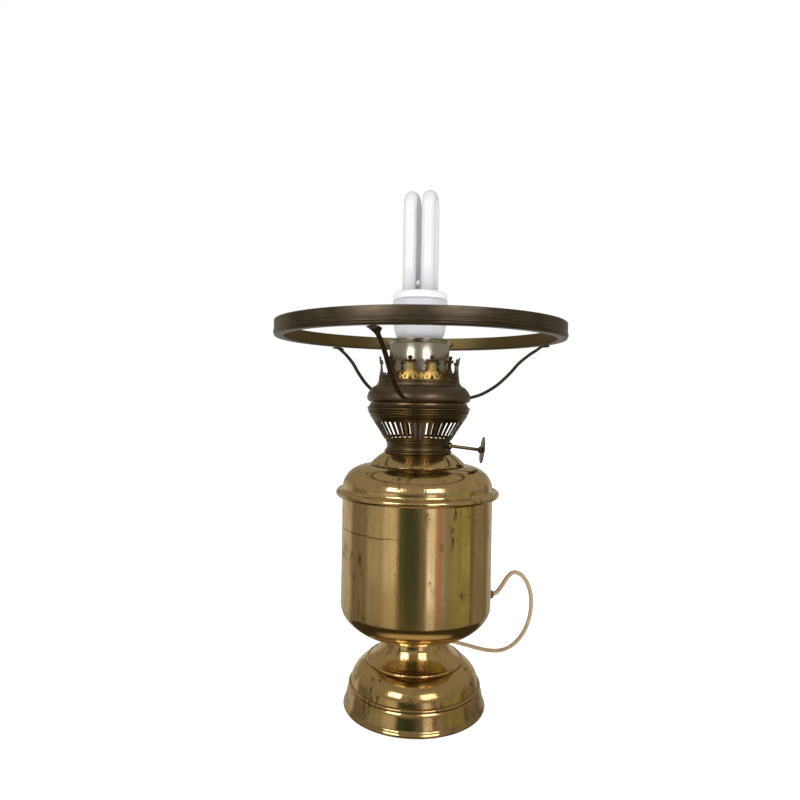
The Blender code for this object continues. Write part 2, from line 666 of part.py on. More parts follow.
def build_gallery():
    """Bulged skirt with the chimney ledge, and the pierced crown on top of it."""
    height = skirt_height
    flank = [(crown_radius + 0.6 * mm, skirt_top), (crown_radius + 0.9 * mm, skirt_base + 0.90 * height),
             (crown_radius + 3.6 * mm, skirt_base + 0.82 * height),
             (skirt_radius - 4.2 * mm, skirt_base + 0.72 * height),
             (skirt_radius - 1.3 * mm, skirt_base + 0.48 * height),
             (skirt_radius - 0.1 * mm, skirt_base + 0.34 * height),
             (skirt_radius - 0.1 * mm, skirt_base + 0.18 * height),
             (skirt_radius - 1.0 * mm, skirt_base + 0.06 * height),
             (rim_top_radius + 0.4 * mm, skirt_base)]
    inside = inwards(flank[1:], skirt_wall)[::2]
    foot_bore = [(rim_top_radius + 0.4 * mm - skirt_wall, skirt_base)]
    ledge = [(crown_radius - skirt_wall, skirt_top - ledge_thickness),
             (ledge_bore_radius, skirt_top - ledge_thickness), (ledge_bore_radius, ledge_top),
             (ledge_edge, ledge_top), (ledge_edge, skirt_top)]
    turned("gallery_skirt", flank + foot_bore + inside[::-1] + ledge, dark_bronze, 36)

    # One prong and its share of the band; the sheet is closed round the axis.
    stations = [-0.5, -0.28, -0.15, -0.052, 0.052, 0.15, 0.28]
    levels = [0.0, 0.095, 0.20]
    band_tops = [0.30, 0.25, 0.31, 0.31, 0.31, 0.31, 0.25]
    holes = (1, 3, 5)
    prong = [(0.085, 0.50), (0.062, 0.71), (0.150, 0.79), (0.045, 0.865), (0.082, 0.93), (0.040, 1.0)]
    corners = []
    faces = []

    def place(prong_index, along, share):
        angle = (prong_index + along) * math.tau / crown_prongs - math.pi / 2 + math.radians(16)
        waist = crown_radius + 0.3 * mm - 1.0 * mm * math.sin(math.pi * min(max(share, 0), 1))
        corners.append((waist * math.cos(angle), waist * math.sin(angle), crown_base + share * crown_height))
        return len(corners) - 1

    grid = []
    for i in range(crown_prongs):
        for along, top in zip(stations, band_tops):
            grid.append([place(i, along, share) for share in (*levels, top)])
    count = len(stations)
    for column, points in enumerate(grid):
        following = grid[(column + 1) % len(grid)]
        for k in range(3):
            if not (k == 1 and column % count in holes):
                faces.append((points[k], following[k], following[k + 1], points[k + 1]))
    for i in range(crown_prongs):
        foot = [grid[i * count + k][3] for k in (2, 3, 4, 5)]
        left, right = place(i, -prong[0][0], prong[0][1]), place(i, prong[0][0], prong[0][1])
        faces.append((*foot, right, left))
        for half, share in prong[1:]:
            next_left, next_right = place(i, -half, share), place(i, half, share)
            faces.append((left, right, next_right, next_left))
            left, right = next_left, next_right
    walled("gallery_crown", corners, faces, crown_wall, dark_bronze)


def build_shade_ring():
    """Shade ring with its inward flange, the strap over its joint, and the three arms."""
    outer = ring_radius
    bead = arc(outer - 0.1 * mm, ring_base + 2.8 * mm, ring_bead, 80, -80, 2)
    rounding = [(outer, ring_base + 1.2 * mm), (outer - 0.35 * mm, ring_base + 0.35 * mm),
                (outer - 1.2 * mm, ring_base)]
    flange_edge = outer - ring_flange
    flange = [(flange_edge, ring_base), (flange_edge, ring_base + ring_wall),
              (outer - 1.8 * ring_wall, ring_base + ring_wall),
              (outer - ring_wall, ring_base + 1.8 * ring_wall)]
    ring_top = ring_base + ring_height
    turned("shade_ring", [(outer, ring_top)] + bead + rounding + flange + [(outer - ring_wall, ring_top)],
           dark_bronze, 56)

    strap_outer = outer - ring_wall - fit_gap
    half_angle = splice_length / 2 / strap_outer
    steps = 10
    shape = bmesh.new()
    rings = []
    for i in range(steps + 1):
        angle = math.pi / 2 + half_angle * (2 * i / steps - 1)
        section = [(strap_outer, ring_base + 2.6 * mm), (strap_outer, ring_top - 0.8 * mm),
                   (strap_outer - splice_thickness, ring_top - 0.8 * mm),
                   (strap_outer - splice_thickness, ring_base + 2.6 * mm)]
        rings.append([shape.verts.new((r * math.cos(angle), r * math.sin(angle), z)) for r, z in section])
    for ring, following in zip(rings, rings[1:]):
        for k in range(4):
            j = (k + 1) % 4
            shape.faces.new((ring[k], ring[j], following[j], following[k]))
    shape.faces.new(rings[0])
    shape.faces.new(rings[-1])
    closed_solid("ring_splice", shape, dark_bronze)

    start = (skirt_radius + 0.9 * mm, skirt_base + 0.25 * skirt_height)
    pad_level = ring_base - fit_gap - arm_pad_thickness / 2
    end = (ring_radius - 4.0 * mm, pad_level)
    shares = [(0, 0), (0.166, 0.08), (0.354, 0.25), (0.517, 0.475), (0.631, 0.665), (0.766, 0.83),
              (0.87, 0.93), (0.93, 0.985), (1, 1)]
    curve = blend(start, end, shares)

    def section(share):
        flat = min(max((share - 0.82) / 0.14, 0), 1)
        width = arm_width * (0.78 + 0.22 * min(share / 0.4, 1))
        return ((width + (arm_pad_width - width) * flat) / 2 / math.cos(math.pi / 8),
                (arm_thickness + (arm_pad_thickness - arm_thickness) * flat) / 2 / math.cos(math.pi / 8))

    for name, degrees in arm_angles.items():
        turn = math.radians(degrees)
        route = [(r * math.cos(turn), r * math.sin(turn), z) for r, z in curve]
        centres = smooth_route(route, 5.6 * mm)
        reach = max(point.z for point in centres) - pad_level
        for point in centres:
            point.z -= max(reach, 0) * max(0, (point.z - start[1]) / (pad_level - start[1]))
        swept("shade_arm_" + name, centres, section, dark_bronze)


# ---- Bulb -----------------------------------------------------------------------------

def build_bulb():
    """Compact fluorescent bulb: E27 cap, two-part housing and two bent glass tubes."""
    contact = [(0, bulb_contact_base), (cap_contact_radius, bulb_contact_base),
               (cap_contact_radius, bulb_contact_base + contact_thickness),
               (0, bulb_contact_base + contact_thickness)]
    turned("bulb_contact", contact, steel, 16)
    insulator_top = insulator_base + cap_insulator_height
    insulator = [(0, insulator_base), (cap_contact_radius + 1 * mm, insulator_base),
                 (cap_radius - 2.4 * mm, insulator_top), (0, insulator_top)]
    turned("bulb_cap_insulator", insulator, black_glass, 20)
    cap_top = bulb_cap_base + cap_height
    thread = []
    turns = 4
    for i in range(turns):
        middle = bulb_cap_base + 3.4 * mm + i * 3.2 * mm
        thread += [(cap_radius - 0.9 * mm, middle - 1.6 * mm), (cap_radius, middle)]
    wall = 0.5 * mm
    bore = cap_radius - 0.9 * mm - wall
    cap = [(cap_radius - 2.2 * mm, bulb_cap_base)] + thread + [
        (cap_radius - 0.4 * mm, cap_top), (bore, cap_top), (bore, bulb_cap_base + wall),
        (bore - 1.5 * mm, bulb_cap_base)]
    turned("bulb_cap", cap, steel, 20)

    skin = [(bulb_radius, bulb_split), (bulb_radius, bulb_base + 0.8 * bulb_body_height)]
    skin += blend((bulb_base_radius, bulb_base), (bulb_radius, bulb_base + 0.8 * bulb_body_height),
                  [(0.76, 0.58), (0.38, 0.2), (0, 0)])
    inner = inwards(skin, 1.4 * mm)
    floor = [(7 * mm, bulb_base), (7 * mm, bulb_base + 1.4 * mm)]
    turned("bulb_housing_lower", skin + floor + inner[::-1][1:], white_plastic, 28)
    split = bulb_split + fit_gap
    shoulder = 4.2 * mm
    rounding = arc(bulb_radius - shoulder, bulb_top - shoulder, shoulder, 0, 90, 3)
    turned("bulb_housing_upper", [(0, split), (bulb_radius, split)] + rounding + [(0, bulb_top)],
           white_plastic, 28)
    board_base = bulb_base + 0.45 * bulb_body_height
    board = [(0, board_base), (bulb_base_radius, board_base), (bulb_base_radius, board_base + 1.4 * mm),
             (0, board_base + 1.4 * mm)]
    turned("ballast_board", board, brown_plastic, 16)

    feet = [Vector((limb_half_diagonal * math.cos(limb_angle + k * math.pi / 2),
                    limb_half_diagonal * math.sin(limb_angle + k * math.pi / 2), 0)) for k in range(4)]
    front, right, back, left = feet
    for name, one, other in (("bulb_tube_left", front, left), ("bulb_tube_right", right, back)):
        middle = (one + other) / 2
        half = (one - other) / 2
        bend = glass_base + glass_height - glass_radius - half.length
        route = [(*one.xy, glass_base), (*one.xy, bend - 12 * mm)]
        for i in range(9):
            turn = math.pi * i / 8
            across = middle + half * math.cos(turn)
            route.append((across.x, across.y, bend + half.length * math.sin(turn)))
        route += [(*other.xy, bend - 12 * mm), (*other.xy, glass_base)]
        tube(name, route, glass_radius, clear_glass, 4)
    across = right - front
    length = across.length - 2 * (glass_radius + fit_gap)
    start = front + across.normalized() * (glass_radius + fit_gap)
    start.z = glass_base + bridge_height
    cylinder_along("bulb_bridge", start, across.normalized(), bridge_radius, length, clear_glass, 12)


# ---- Flex -----------------------------------------------------------------------------

# Along the flex from the grommet to the coil, in millimetres.
cord_route = [
    (65.9, 14.0, 85.6), (69.6, 14.9, 87.4), (74.0, 16.4, 92.6), (78.6, 18.8, 98.6), (84.0, 22.2, 101.8),
    (89.9, 25.4, 100.2), (95.2, 28.6, 95.2), (99.6, 32.2, 87.6), (102.8, 36.8, 77.8), (104.4, 42.6, 66.0),
    (104.4, 49.8, 53.0), (102.6, 58.2, 39.8), (98.8, 67.6, 27.2), (93.0, 77.8, 16.0), (85.4, 88.2, 8.0),
    (76.0, 98.4, 3.6), (65.4, 107.8, 2.1), (54.0, 116.2, 2.0), (42.0, 123.4, 2.1), (29.6, 129.0, 2.6),
    (16.2, 132.2, 3.1),
]


def build_flex():
    """Flex inside the font, the free flex, its coil and tie, and the plug on its end."""
    out = Vector((math.cos(cord_exit_angle), math.sin(cord_exit_angle), 0))
    inside = font_radius - font_wall - grommet_inside - cord_radius
    rise = plate_base - nipple_below_plate - cord_exit_height
    start = out * inside + Vector((0, 0, cord_exit_height))
    flex = [start, start - out * 9 * mm + Vector((0, 0, 0.5 * mm)),
            out * 0.55 * inside + Vector((0, 0, cord_exit_height + 0.08 * rise)),
            out * 0.22 * inside + Vector((0, 0, cord_exit_height + 0.30 * rise)),
            out * 0.05 * inside + Vector((0, 0, cord_exit_height + 0.62 * rise)),
            Vector((0, 0, cord_exit_height + 0.88 * rise)),
            Vector((0, 0, plate_base)), Vector((0, 0, basket_top)),
            Vector((0, 0, holder_base_level + 0.5 * holder_floor))]
    tube("inner_flex", smooth_route(flex, 2.4 * cord_diameter), cord_radius, beige_plastic)

    route = [tuple(value * mm for value in point) for point in cord_route]
    tube("cord", smooth_route(route, 1.2 * cord_diameter), cord_radius, beige_plastic)

    half_width = coil_columns * cord_diameter / 2
    coil_height = coil_layers * cord_diameter
    coil_top = coil_lift + coil_height
    outer = coil_middle_radius + half_width
    inner = coil_middle_radius - half_width
    corner = 0.7 * cord_radius
    section = [(outer - corner, coil_lift), (outer, coil_lift + corner), (outer, coil_top - corner),
               (outer - corner, coil_top), (inner + corner, coil_top), (inner, coil_top - corner),
               (inner, coil_lift + corner), (inner + corner, coil_lift)]
    centre = Matrix.Translation((*coil_centre, 0))
    turned("cord_coil", section, beige_plastic, 28, centre)

    # The tie is a flat loop round the coil's section.
    curving = inner - math.sqrt(inner ** 2 - (tie_width / 2) ** 2)
    loop = []
    for grow in (tie_gap, tie_gap + tie_thickness):
        loop.append([(coil_middle_radius + side * (half_width + grow + (curving if side < 0 else 0)), level)
                     for side, level in ((-1, coil_lift - grow), (1, coil_lift - grow),
                                         (1, coil_top + grow), (-1, coil_top + grow))])
    shape = bmesh.new()
    sides = []
    for across in (-tie_width / 2, tie_width / 2):
        sides.append([[shape.verts.new((radius, across, level)) for radius, level in ring] for ring in loop])
    (near_in, near_out), (far_in, far_out) = sides
    for k in range(4):
        j = (k + 1) % 4
        shape.faces.new((near_in[k], near_in[j], near_out[j], near_out[k]))
        shape.faces.new((far_in[k], far_out[k], far_out[j], far_in[j]))
        shape.faces.new((near_out[k], near_out[j], far_out[j], far_out[k]))
        shape.faces.new((near_in[k], far_in[k], far_in[j], near_in[j]))
    bmesh.ops.transform(shape, matrix=centre @ Matrix.Rotation(tie_angle, 4, "Z"), verts=shape.verts)
    closed_solid("coil_tie", shape, beige_plastic, smooth=False)

    outer_turn = outer - cord_radius
    relief_reach = math.sqrt(outer ** 2 - (outer_turn - plug_relief_radius) ** 2)
    plug_level = plug_thickness / 2 + fit_gap
    plug_start = coil_centre[1] + relief_reach + fit_gap
    body = lofted_plug()
    body.data.transform(Matrix.Translation((coil_centre[0] - outer_turn, plug_start, plug_level)))
    pin_start = plug_start + plug_relief_length + plug_body_length + fit_gap
    for name, side in (("plug_pin_left", -1), ("plug_pin_right", 1)):
        place = (coil_centre[0] - outer_turn + side * pin_spacing / 2, pin_start, plug_level)
        cylinder_along(name, place, (0, 1, 0), pin_radius, pin_length, nickel, 14)


def lofted_plug():
    """Flat two-pin plug body with its tapered strain relief, along +Y from the origin."""
    full = plug_relief_length + plug_body_length
    stations = [(0, plug_relief_radius * 0.72, plug_relief_radius * 0.72),
                (plug_relief_length, plug_relief_radius * 1.25, plug_relief_radius * 1.15),
                (plug_relief_length + 0.2 * plug_body_length, 0.30 * plug_width, 0.44 * plug_thickness),
                (plug_relief_length + 0.55 * plug_body_length, plug_width / 2, plug_thickness / 2),
                (full - 1.5 * mm, plug_width / 2, plug_thickness / 2),
                (full, plug_width / 2 - 1.2 * mm, plug_thickness / 2 - 1.2 * mm)]
    shape = bmesh.new()
    rings = []
    for along, half_width, half_height in stations:
        ring = []
        for k in range(16):
            turn = math.tau * (k + 0.5) / 16
            across = math.copysign(abs(math.cos(turn)) ** 0.6, math.cos(turn)) * half_width
            up = math.copysign(abs(math.sin(turn)) ** 0.6, math.sin(turn)) * half_height
            ring.append(shape.verts.new((across, along, up)))
        rings.append(ring)
    for ring, following in zip(rings, rings[1:]):
        for k in range(16):
            j = (k + 1) % 16
            shape.faces.new((ring[k], ring[j], following[j], following[k]))
    shape.faces.new(rings[0])
    shape.faces.new(rings[-1])
    return closed_solid("plug_body", shape, beige_plastic)


def main():
    for item in list(bpy.data.objects):
        bpy.data.objects.remove(item, do_unlink=True)
    build_foot()
    build_font()
    build_burner()
    build_winder()
    build_holder()
    build_gallery()
    build_shade_ring()
    build_bulb()
    build_flex()


main()
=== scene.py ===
import json
import math

import bmesh
import bpy
from mathutils import Matrix, Vector


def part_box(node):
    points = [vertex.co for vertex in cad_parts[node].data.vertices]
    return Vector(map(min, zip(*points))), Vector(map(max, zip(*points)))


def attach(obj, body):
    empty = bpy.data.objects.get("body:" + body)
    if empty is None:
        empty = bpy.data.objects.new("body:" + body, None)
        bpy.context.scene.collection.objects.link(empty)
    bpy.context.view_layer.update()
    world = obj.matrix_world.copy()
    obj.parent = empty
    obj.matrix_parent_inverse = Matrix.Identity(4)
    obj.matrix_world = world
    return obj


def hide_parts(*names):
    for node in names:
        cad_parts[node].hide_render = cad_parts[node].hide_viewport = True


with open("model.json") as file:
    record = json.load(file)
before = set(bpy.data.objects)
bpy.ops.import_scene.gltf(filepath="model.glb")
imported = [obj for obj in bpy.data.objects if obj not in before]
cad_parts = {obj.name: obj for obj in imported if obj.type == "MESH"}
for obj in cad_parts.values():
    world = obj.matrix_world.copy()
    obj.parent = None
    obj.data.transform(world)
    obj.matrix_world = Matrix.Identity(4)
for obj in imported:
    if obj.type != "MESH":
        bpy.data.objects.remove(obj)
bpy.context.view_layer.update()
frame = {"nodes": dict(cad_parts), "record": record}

mm = 0.001


def report(text):
    print("lamp:", text)


# Camera, level with the burner and a little left of the lamp's axis
cameraSetup = {"place": (-0.0154, -0.5124, 0.2517), "down": 0.37, "roll": 0.93, "lens": 28.08}


def addCamera():
    bpy.ops.object.camera_add(location=cameraSetup["place"])
    camera = bpy.context.object
    camera.name = "lampCamera"
    camera.data.lens = cameraSetup["lens"]
    camera.data.sensor_width = 36
    camera.data.clip_start = 0.01
    camera.rotation_euler = (math.radians(90 - cameraSetup["down"]), math.radians(-cameraSetup["roll"]), 0)
    bpy.context.scene.camera = camera


addCamera()
report("camera placed")


# Shader helpers: a socket that does sums, and a material that adds nodes

class Value:
    def __init__(self, finish, socket):
        self.finish = finish
        self.socket = socket

    def sum(self, operation, first, second):
        return self.finish.add("Math", {"operation": operation}, [first, second])

    def __add__(self, other):
        return self.sum("ADD", self, other)

    def __sub__(self, other):
        return self.sum("SUBTRACT", self, other)

    def __rsub__(self, other):
        return self.sum("SUBTRACT", other, self)

    def __mul__(self, other):
        return self.sum("MULTIPLY", self, other)

    def __pow__(self, other):
        return self.sum("POWER", self, other)

    def clamp(self):
        return self.finish.add("Math", {"operation": "ADD", "use_clamp": True}, [self, 0.0])


socketNames = {"colour": "Base Color", "roughness": "Roughness", "metallic": "Metallic",
               "coat": "Coat Weight", "sheen": "Sheen Weight", "light": "Emission Strength",
               "lightColour": "Emission Color"}


class Finish:
    def __init__(self, name):
        self.material = bpy.data.materials.new(name)
        self.material.use_nodes = True
        self.tree = self.material.node_tree
        self.shader = self.tree.nodes["Principled BSDF"]
        self.place = self.add("TexCoord", {}, {}, "Object")

    def connect(self, given, socket):
        if isinstance(given, Value):
            self.tree.links.new(given.socket, socket)
        elif given is not None:
            socket.default_value = given

    def add(self, kind, settings, inputs, output=0):
        node = self.tree.nodes.new("ShaderNode" + kind)
        for key, value in settings.items():
            if key == "stops":
                for i, (at, shade) in enumerate(value):
                    stop = node.color_ramp.elements[i] if i < 2 else node.color_ramp.elements.new(at)
                    stop.position = at
                    stop.color = (*shade, 1) if isinstance(shade, tuple) else (shade, shade, shade, 1)
            else:
                setattr(node, key, value)
        pairs = inputs.items() if isinstance(inputs, dict) else enumerate(inputs)
        for key, given in pairs:
            self.connect(given, node.inputs[key])
        return None if output is None else Value(self, node.outputs[output])

    def stretch(self, scale, turn=(0, 0, 0)):
        return self.add("Mapping", {}, {"Vector": self.place, "Scale": scale, "Rotation": turn})

    def noise(self, scale, detail=3, rough=0.5, at=None, warp=0.0):
        return self.add("TexNoise", {}, {"Vector": at or self.place, "Scale": scale, "Detail": detail,
                                         "Roughness": rough, "Distortion": warp})

    def cells(self, scale):
        return self.add("TexVoronoi", {"feature": "F1"}, {"Vector": self.place, "Scale": scale})

    def ramp(self, value, *stops):
        return self.add("ValToRGB", {"stops": stops}, {"Fac": value})

    def mix(self, share, first, second, blend="MIX"):
        node = self.tree.nodes.new("ShaderNodeMix")
        node.data_type = "RGBA"
        node.blend_type = blend
        self.connect(share, node.inputs[0])
        for given, socket in ((first, node.inputs[6]), (second, node.inputs[7])):
            self.connect((*given, 1) if isinstance(given, tuple) else given, socket)
        return Value(self, node.outputs[2])

    def axis(self, name):
        return self.add("SeparateXYZ", {}, {"Vector": self.place}, name)

    def height(self):
        return self.axis("Z")

    def radius(self):
        across, along = self.axis("X"), self.axis("Y")
        return (across * across + along * along) ** 0.5

    def bump(self, height, strength, distance=0.001):
        self.shader.inputs["Normal"].default_value = (0, 0, 0)
        bumped = self.add("Bump", {}, {"Height": height, "Strength": strength, "Distance": distance})
        self.connect(bumped, self.shader.inputs["Normal"])

    def set(self, **sockets):
        for key, given in sockets.items():
            given = (*given, 1) if isinstance(given, tuple) else given
            self.connect(given, self.shader.inputs[socketNames[key]])
        return self.material


# Finishes

def brassFinish(name, light, deep, tarnish, rough, spots, scratch, cloud=22, band=0.0, crease=0.0):
    f = Finish(name)
    clouds = f.noise(cloud, 4, 0.6, warp=0.6)
    mottle = f.noise(cloud * 5, 5, 0.7, f.stretch((1, 1, 0.6)))
    patches = f.ramp(clouds * 0.7 + mottle * 0.3, (0.38, 0.0), (0.68, 1.0))
    pits = f.ramp(f.cells(cloud * 9), (0.07, 1.0), (0.13, 0.0))
    scuffs = f.ramp(f.noise(240, 5, 0.75, f.stretch((1, 1, 0.22))), (0.55, 0.0), (0.60, 1.0))
    sparse = f.ramp(f.noise(cloud * 2.5, 2), (0.47, 0.0), (0.60, 1.0))
    rings = f.noise(20, 3, 0.6, f.stretch((1, 1, 40)))
    drawn = f.noise(14, 2, 0.5, f.stretch((10, 1, 0.5), (0.3, 0.5, 0.9)))
    lines = f.ramp(drawn, (0.485, 0.0), (0.5, 1.0), (0.515, 0.0))
    worst = f.ramp(f.noise(cloud * 1.4, 3, 0.6), (0.48, 0.0), (0.58, 1.0))
    dirt = (pits * sparse * spots + scuffs * worst * spots + patches * 0.16 * spots).clamp()
    colour = f.mix(patches, light, deep)
    colour = f.mix(dirt, colour, tarnish)
    if crease:
        off = f.height() - crease + (f.noise(90, 3) - 0.5) * 0.004
        side = f.ramp(f.axis("X") * -20, (0.25, 0.0), (0.45, 1.0))
        line = f.ramp(off * off * 1e6, (0.0, 1.0), (0.30, 0.0)) * side
        colour = f.mix(line * 0.9, colour, tarnish)
    if band:
        start = band * 5
        low = f.ramp(f.height() * 5 + mottle * 0.25, (start + 0.02, 1.0), (start + 0.28, 0.0))
        colour = f.mix(low * 0.6, colour, tarnish)
    f.bump(rings * 0.35 + lines * scratch * 2 - pits * sparse * 1.2 + mottle * 0.4, 0.10, 0.0006)
    dull = patches * 0.10 + dirt * 0.35 + lines * scratch + rings * 0.05
    return f.set(colour=colour, metallic=1.0, roughness=(dull + (rough - 0.04)).clamp())


def bronzeFinish(name, light, deep, rough, scale):
    f = Finish(name)
    clouds = f.noise(scale, 5, 0.65, warp=0.4)
    fine = f.noise(scale * 9, 4, 0.7)
    mask = f.ramp(clouds * 0.7 + fine * 0.3, (0.34, 0.0), (0.66, 1.0))
    wear = f.ramp(f.add("NewGeometry", {}, {}, "Pointiness"), (0.50, 0.0), (0.56, 1.0))
    worn = (wear * 0.55 * clouds + mask * 0.25).clamp()
    f.bump(fine * 0.6 + clouds * 0.4, 0.18, 0.0005)
    return f.set(colour=f.mix(worn, deep, light), metallic=1.0,
                 roughness=(fine * 0.22 + mask * 0.12 + (rough - 0.14)).clamp())


def plainFinish(name, light, deep, rough, metallic=0.0, scale=60, strength=0.1, **sockets):
    f = Finish(name)
    clouds = f.noise(scale, 4, 0.6)
    fine = f.noise(scale * 12, 3, 0.6)
    f.bump(fine, strength, 0.0003)
    return f.set(colour=f.mix(f.ramp(clouds, (0.3, 0.0), (0.7, 1.0)), light, deep), metallic=metallic,
                 roughness=(fine * 0.15 + clouds * 0.1 + (rough - 0.12)).clamp(), **sockets)


def nickelFinish():
    f = Finish("nickelSleeve")
    streaks = f.noise(26, 4, 0.7, f.stretch((1, 1, 0.12)))
    specks = f.ramp(f.cells(420), (0.06, 1.0), (0.15, 0.0)) * f.ramp(f.noise(60, 2), (0.52, 0.0), (0.66, 1.0))
    rub = f.ramp(f.noise(90, 5, 0.8, f.stretch((1, 1, 0.5))), (0.45, 0.0), (0.7, 1.0))
    colour = f.mix(streaks, (0.62, 0.59, 0.50), (0.44, 0.40, 0.31))
    f.bump(rub * 0.5 + streaks * 0.5 - specks, 0.12, 0.0004)
    return f.set(colour=f.mix(specks * 0.7, colour, (0.16, 0.12, 0.07)), metallic=1.0,
                 roughness=(rub * 0.12 + specks * 0.3 + 0.20).clamp())


def flexFinish():
    f = Finish("beigeFlex")
    clouds = f.noise(40, 4, 0.6)
    grime = f.ramp(f.noise(140, 5, 0.75), (0.5, 0.0), (0.75, 1.0))
    f.bump(f.noise(900, 3, 0.6) * 0.6 + clouds * 0.4, 0.15, 0.0003)
    colour = f.mix(clouds, (0.46, 0.335, 0.20), (0.36, 0.25, 0.14))
    return f.set(colour=f.mix(grime * 0.4, colour, (0.30, 0.20, 0.11)),
                 roughness=(grime * 0.2 + clouds * 0.1 + 0.38).clamp())


def glassFinish():
    f = Finish("coatedGlass")
    coat = f.noise(90, 4, 0.6)
    ends = f.ramp(f.height() * 10 - 3.35, (0.0, 1.0), (0.18, 0.0))
    colour = f.mix(coat, (0.74, 0.75, 0.76), (0.64, 0.65, 0.67))
    f.bump(coat, 0.03, 0.0003)
    return f.set(colour=f.mix(ends * 0.35, colour, (0.40, 0.41, 0.43)), coat=0.6,
                 roughness=(coat * 0.05 + 0.05).clamp())


brass = brassFinish("polishedBrass", (0.80, 0.575, 0.28), (0.70, 0.485, 0.20), (0.13, 0.08, 0.03),
                    rough=0.08, spots=0.85, scratch=0.08, crease=0.1465)
footBrass = brassFinish("footBrass", (0.76, 0.54, 0.245), (0.64, 0.43, 0.165), (0.14, 0.08, 0.03),
                        rough=0.08, spots=0.85, scratch=0.06, cloud=30, band=0.004)
gilt = brassFinish("giltBrass", (0.92, 0.66, 0.26), (0.80, 0.52, 0.17), (0.30, 0.18, 0.07),
                   rough=0.26, spots=0.3, scratch=0.05, cloud=60)
agedBrass = bronzeFinish("agedBrass", (0.32, 0.225, 0.105), (0.120, 0.086, 0.045), 0.28, 45)
armBronze = bronzeFinish("armBronze", (0.15, 0.105, 0.06), (0.055, 0.040, 0.027), 0.46, 60)
bronze = bronzeFinish("darkBronze", (0.36, 0.265, 0.16), (0.140, 0.104, 0.071), 0.34, 40)
nickel = nickelFinish()
flexSkin = flexFinish()
glass = glassFinish()
steel = plainFinish("plainSteel", (0.55, 0.55, 0.56), (0.40, 0.40, 0.42), 0.34, 1.0)
iron = plainFinish("castIron", (0.10, 0.10, 0.10), (0.05, 0.05, 0.05), 0.7, 0.8, strength=0.5)
housing = plainFinish("bulbHousing", (0.58, 0.58, 0.61), (0.53, 0.53, 0.56), 0.36, scale=50, strength=0.04)
# A lighter copy of the bulb housing plastic, for the upper housing: painted light on the top that faces the
# overhead light
litHousingCopy = plainFinish("litHousingCopy", (0.82, 0.82, 0.84), (0.78, 0.78, 0.80), 0.36, scale=50,
                          strength=0.04)
ceramic = plainFinish("glazedCeramic", (0.82, 0.79, 0.72), (0.74, 0.70, 0.62), 0.25)
blackGlass = plainFinish("vitrifiedGlass", (0.03, 0.03, 0.03), (0.015, 0.015, 0.02), 0.18)
brownPlastic = plainFinish("brownMoulding", (0.16, 0.09, 0.05), (0.10, 0.055, 0.03), 0.42)
felt = plainFinish("greenFelt", (0.035, 0.085, 0.045), (0.02, 0.05, 0.028), 0.95, scale=300, strength=0.8,
                   sheen=0.4)
report("finishes made")

slotFinish = {"polished_brass": brass, "aged_brass": agedBrass, "dark_bronze": bronze, "gilt_brass": gilt,
              "nickel_plate": nickel, "plain_steel": steel, "cast_weight": iron, "felt": felt,
              "white_housing": housing, "bulb_glass": glass, "black_insulator": blackGlass,
              "ceramic": ceramic, "beige_flex": flexSkin, "brown_plastic": brownPlastic}
bodyOf = {node: body for body, nodes in frame["record"]["behaviour"]["bodies"].items() for node in nodes}
slotOf = {part["node"]: part["material_slot"] for part in frame["record"]["subparts"]}
for node, solid in frame["nodes"].items():
    solid.data.materials.clear()
    solid.data.materials.append(slotFinish[slotOf[node]])


# Making pieces

def deselect():
    if bpy.context.mode != "OBJECT":
        bpy.ops.object.mode_set(mode="OBJECT")
    bpy.ops.object.select_all(action="DESELECT")


def choose(*pieces):
    deselect()
    for piece in pieces:
        piece.select_set(True)
    bpy.context.view_layer.objects.active = pieces[0]


def settle(piece, name, node, finish=None, angle=40, standsFor=True):
    choose(piece)
    piece.name = name
    piece.data.name = name
    bpy.ops.object.transform_apply(location=True, rotation=True, scale=True)
    bpy.ops.object.shade_smooth_by_angle(angle=math.radians(angle))
    piece.data.materials.clear()
    piece.data.materials.append(finish or slotFinish[slotOf[node]])
    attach(piece, bodyOf[node])
    if standsFor:
        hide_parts(node)


def applyAll(piece):
    for modifier in list(piece.modifiers):
        bpy.ops.object.modifier_apply(modifier=modifier.name)


def scaled(points):
    return [(radius * mm, height * mm) for radius, height in points]


def eased(share):
    share = min(max(share, 0), 1)
    return share * share * (3 - 2 * share)


def arcRound(radius, height, size, start, end, steps):
    turns = [math.radians(start + (end - start) * i / steps) for i in range(steps + 1)]
    return [(radius + size * math.cos(t), height + size * math.sin(t)) for t in turns]


# Dense points on one smooth line through a few
def flowing(points, steps):
    knots = [Vector(p) for p in points]
    knots = [2 * knots[0] - knots[1]] + knots + [2 * knots[-1] - knots[-2]]
    fine = []
    for a, b, c, d in zip(knots, knots[1:], knots[2:], knots[3:]):
        for k in range(steps):
            t = k / steps
            fine.append(tuple(0.5 * (2 * b + (c - a) * t + (2 * a - 5 * b + 4 * c - d) * t ** 2
                                     + (3 * b - a - 3 * c + d) * t ** 3)))
    return fine + [tuple(knots[-2])]


def curved(points, steps):
    return [(radius, height) for radius, y, height in flowing([(r, 0, z) for r, z in points], steps)]


# A quarter that leaves the side upright and meets the floor level
def softCorner(side, floor, power, steps=26):
    turns = [math.pi / 2 * i / steps for i in range(steps + 1)]
    return [(floor[0] + (side[0] - floor[0]) * max(math.cos(t), 0) ** (2 / power),
             side[1] + (floor[1] - side[1]) * math.sin(t) ** (2 / power)) for t in turns]


def innerWall(outline, wall):
    inner = []
    for i, (radius, height) in enumerate(outline):
        before, after = outline[max(i - 1, 0)], outline[min(i + 1, len(outline) - 1)]
        along = Vector((after[0] - before[0], after[1] - before[1])).normalized()
        inner.append((radius + along.y * wall, height - along.x * wall))
    return inner


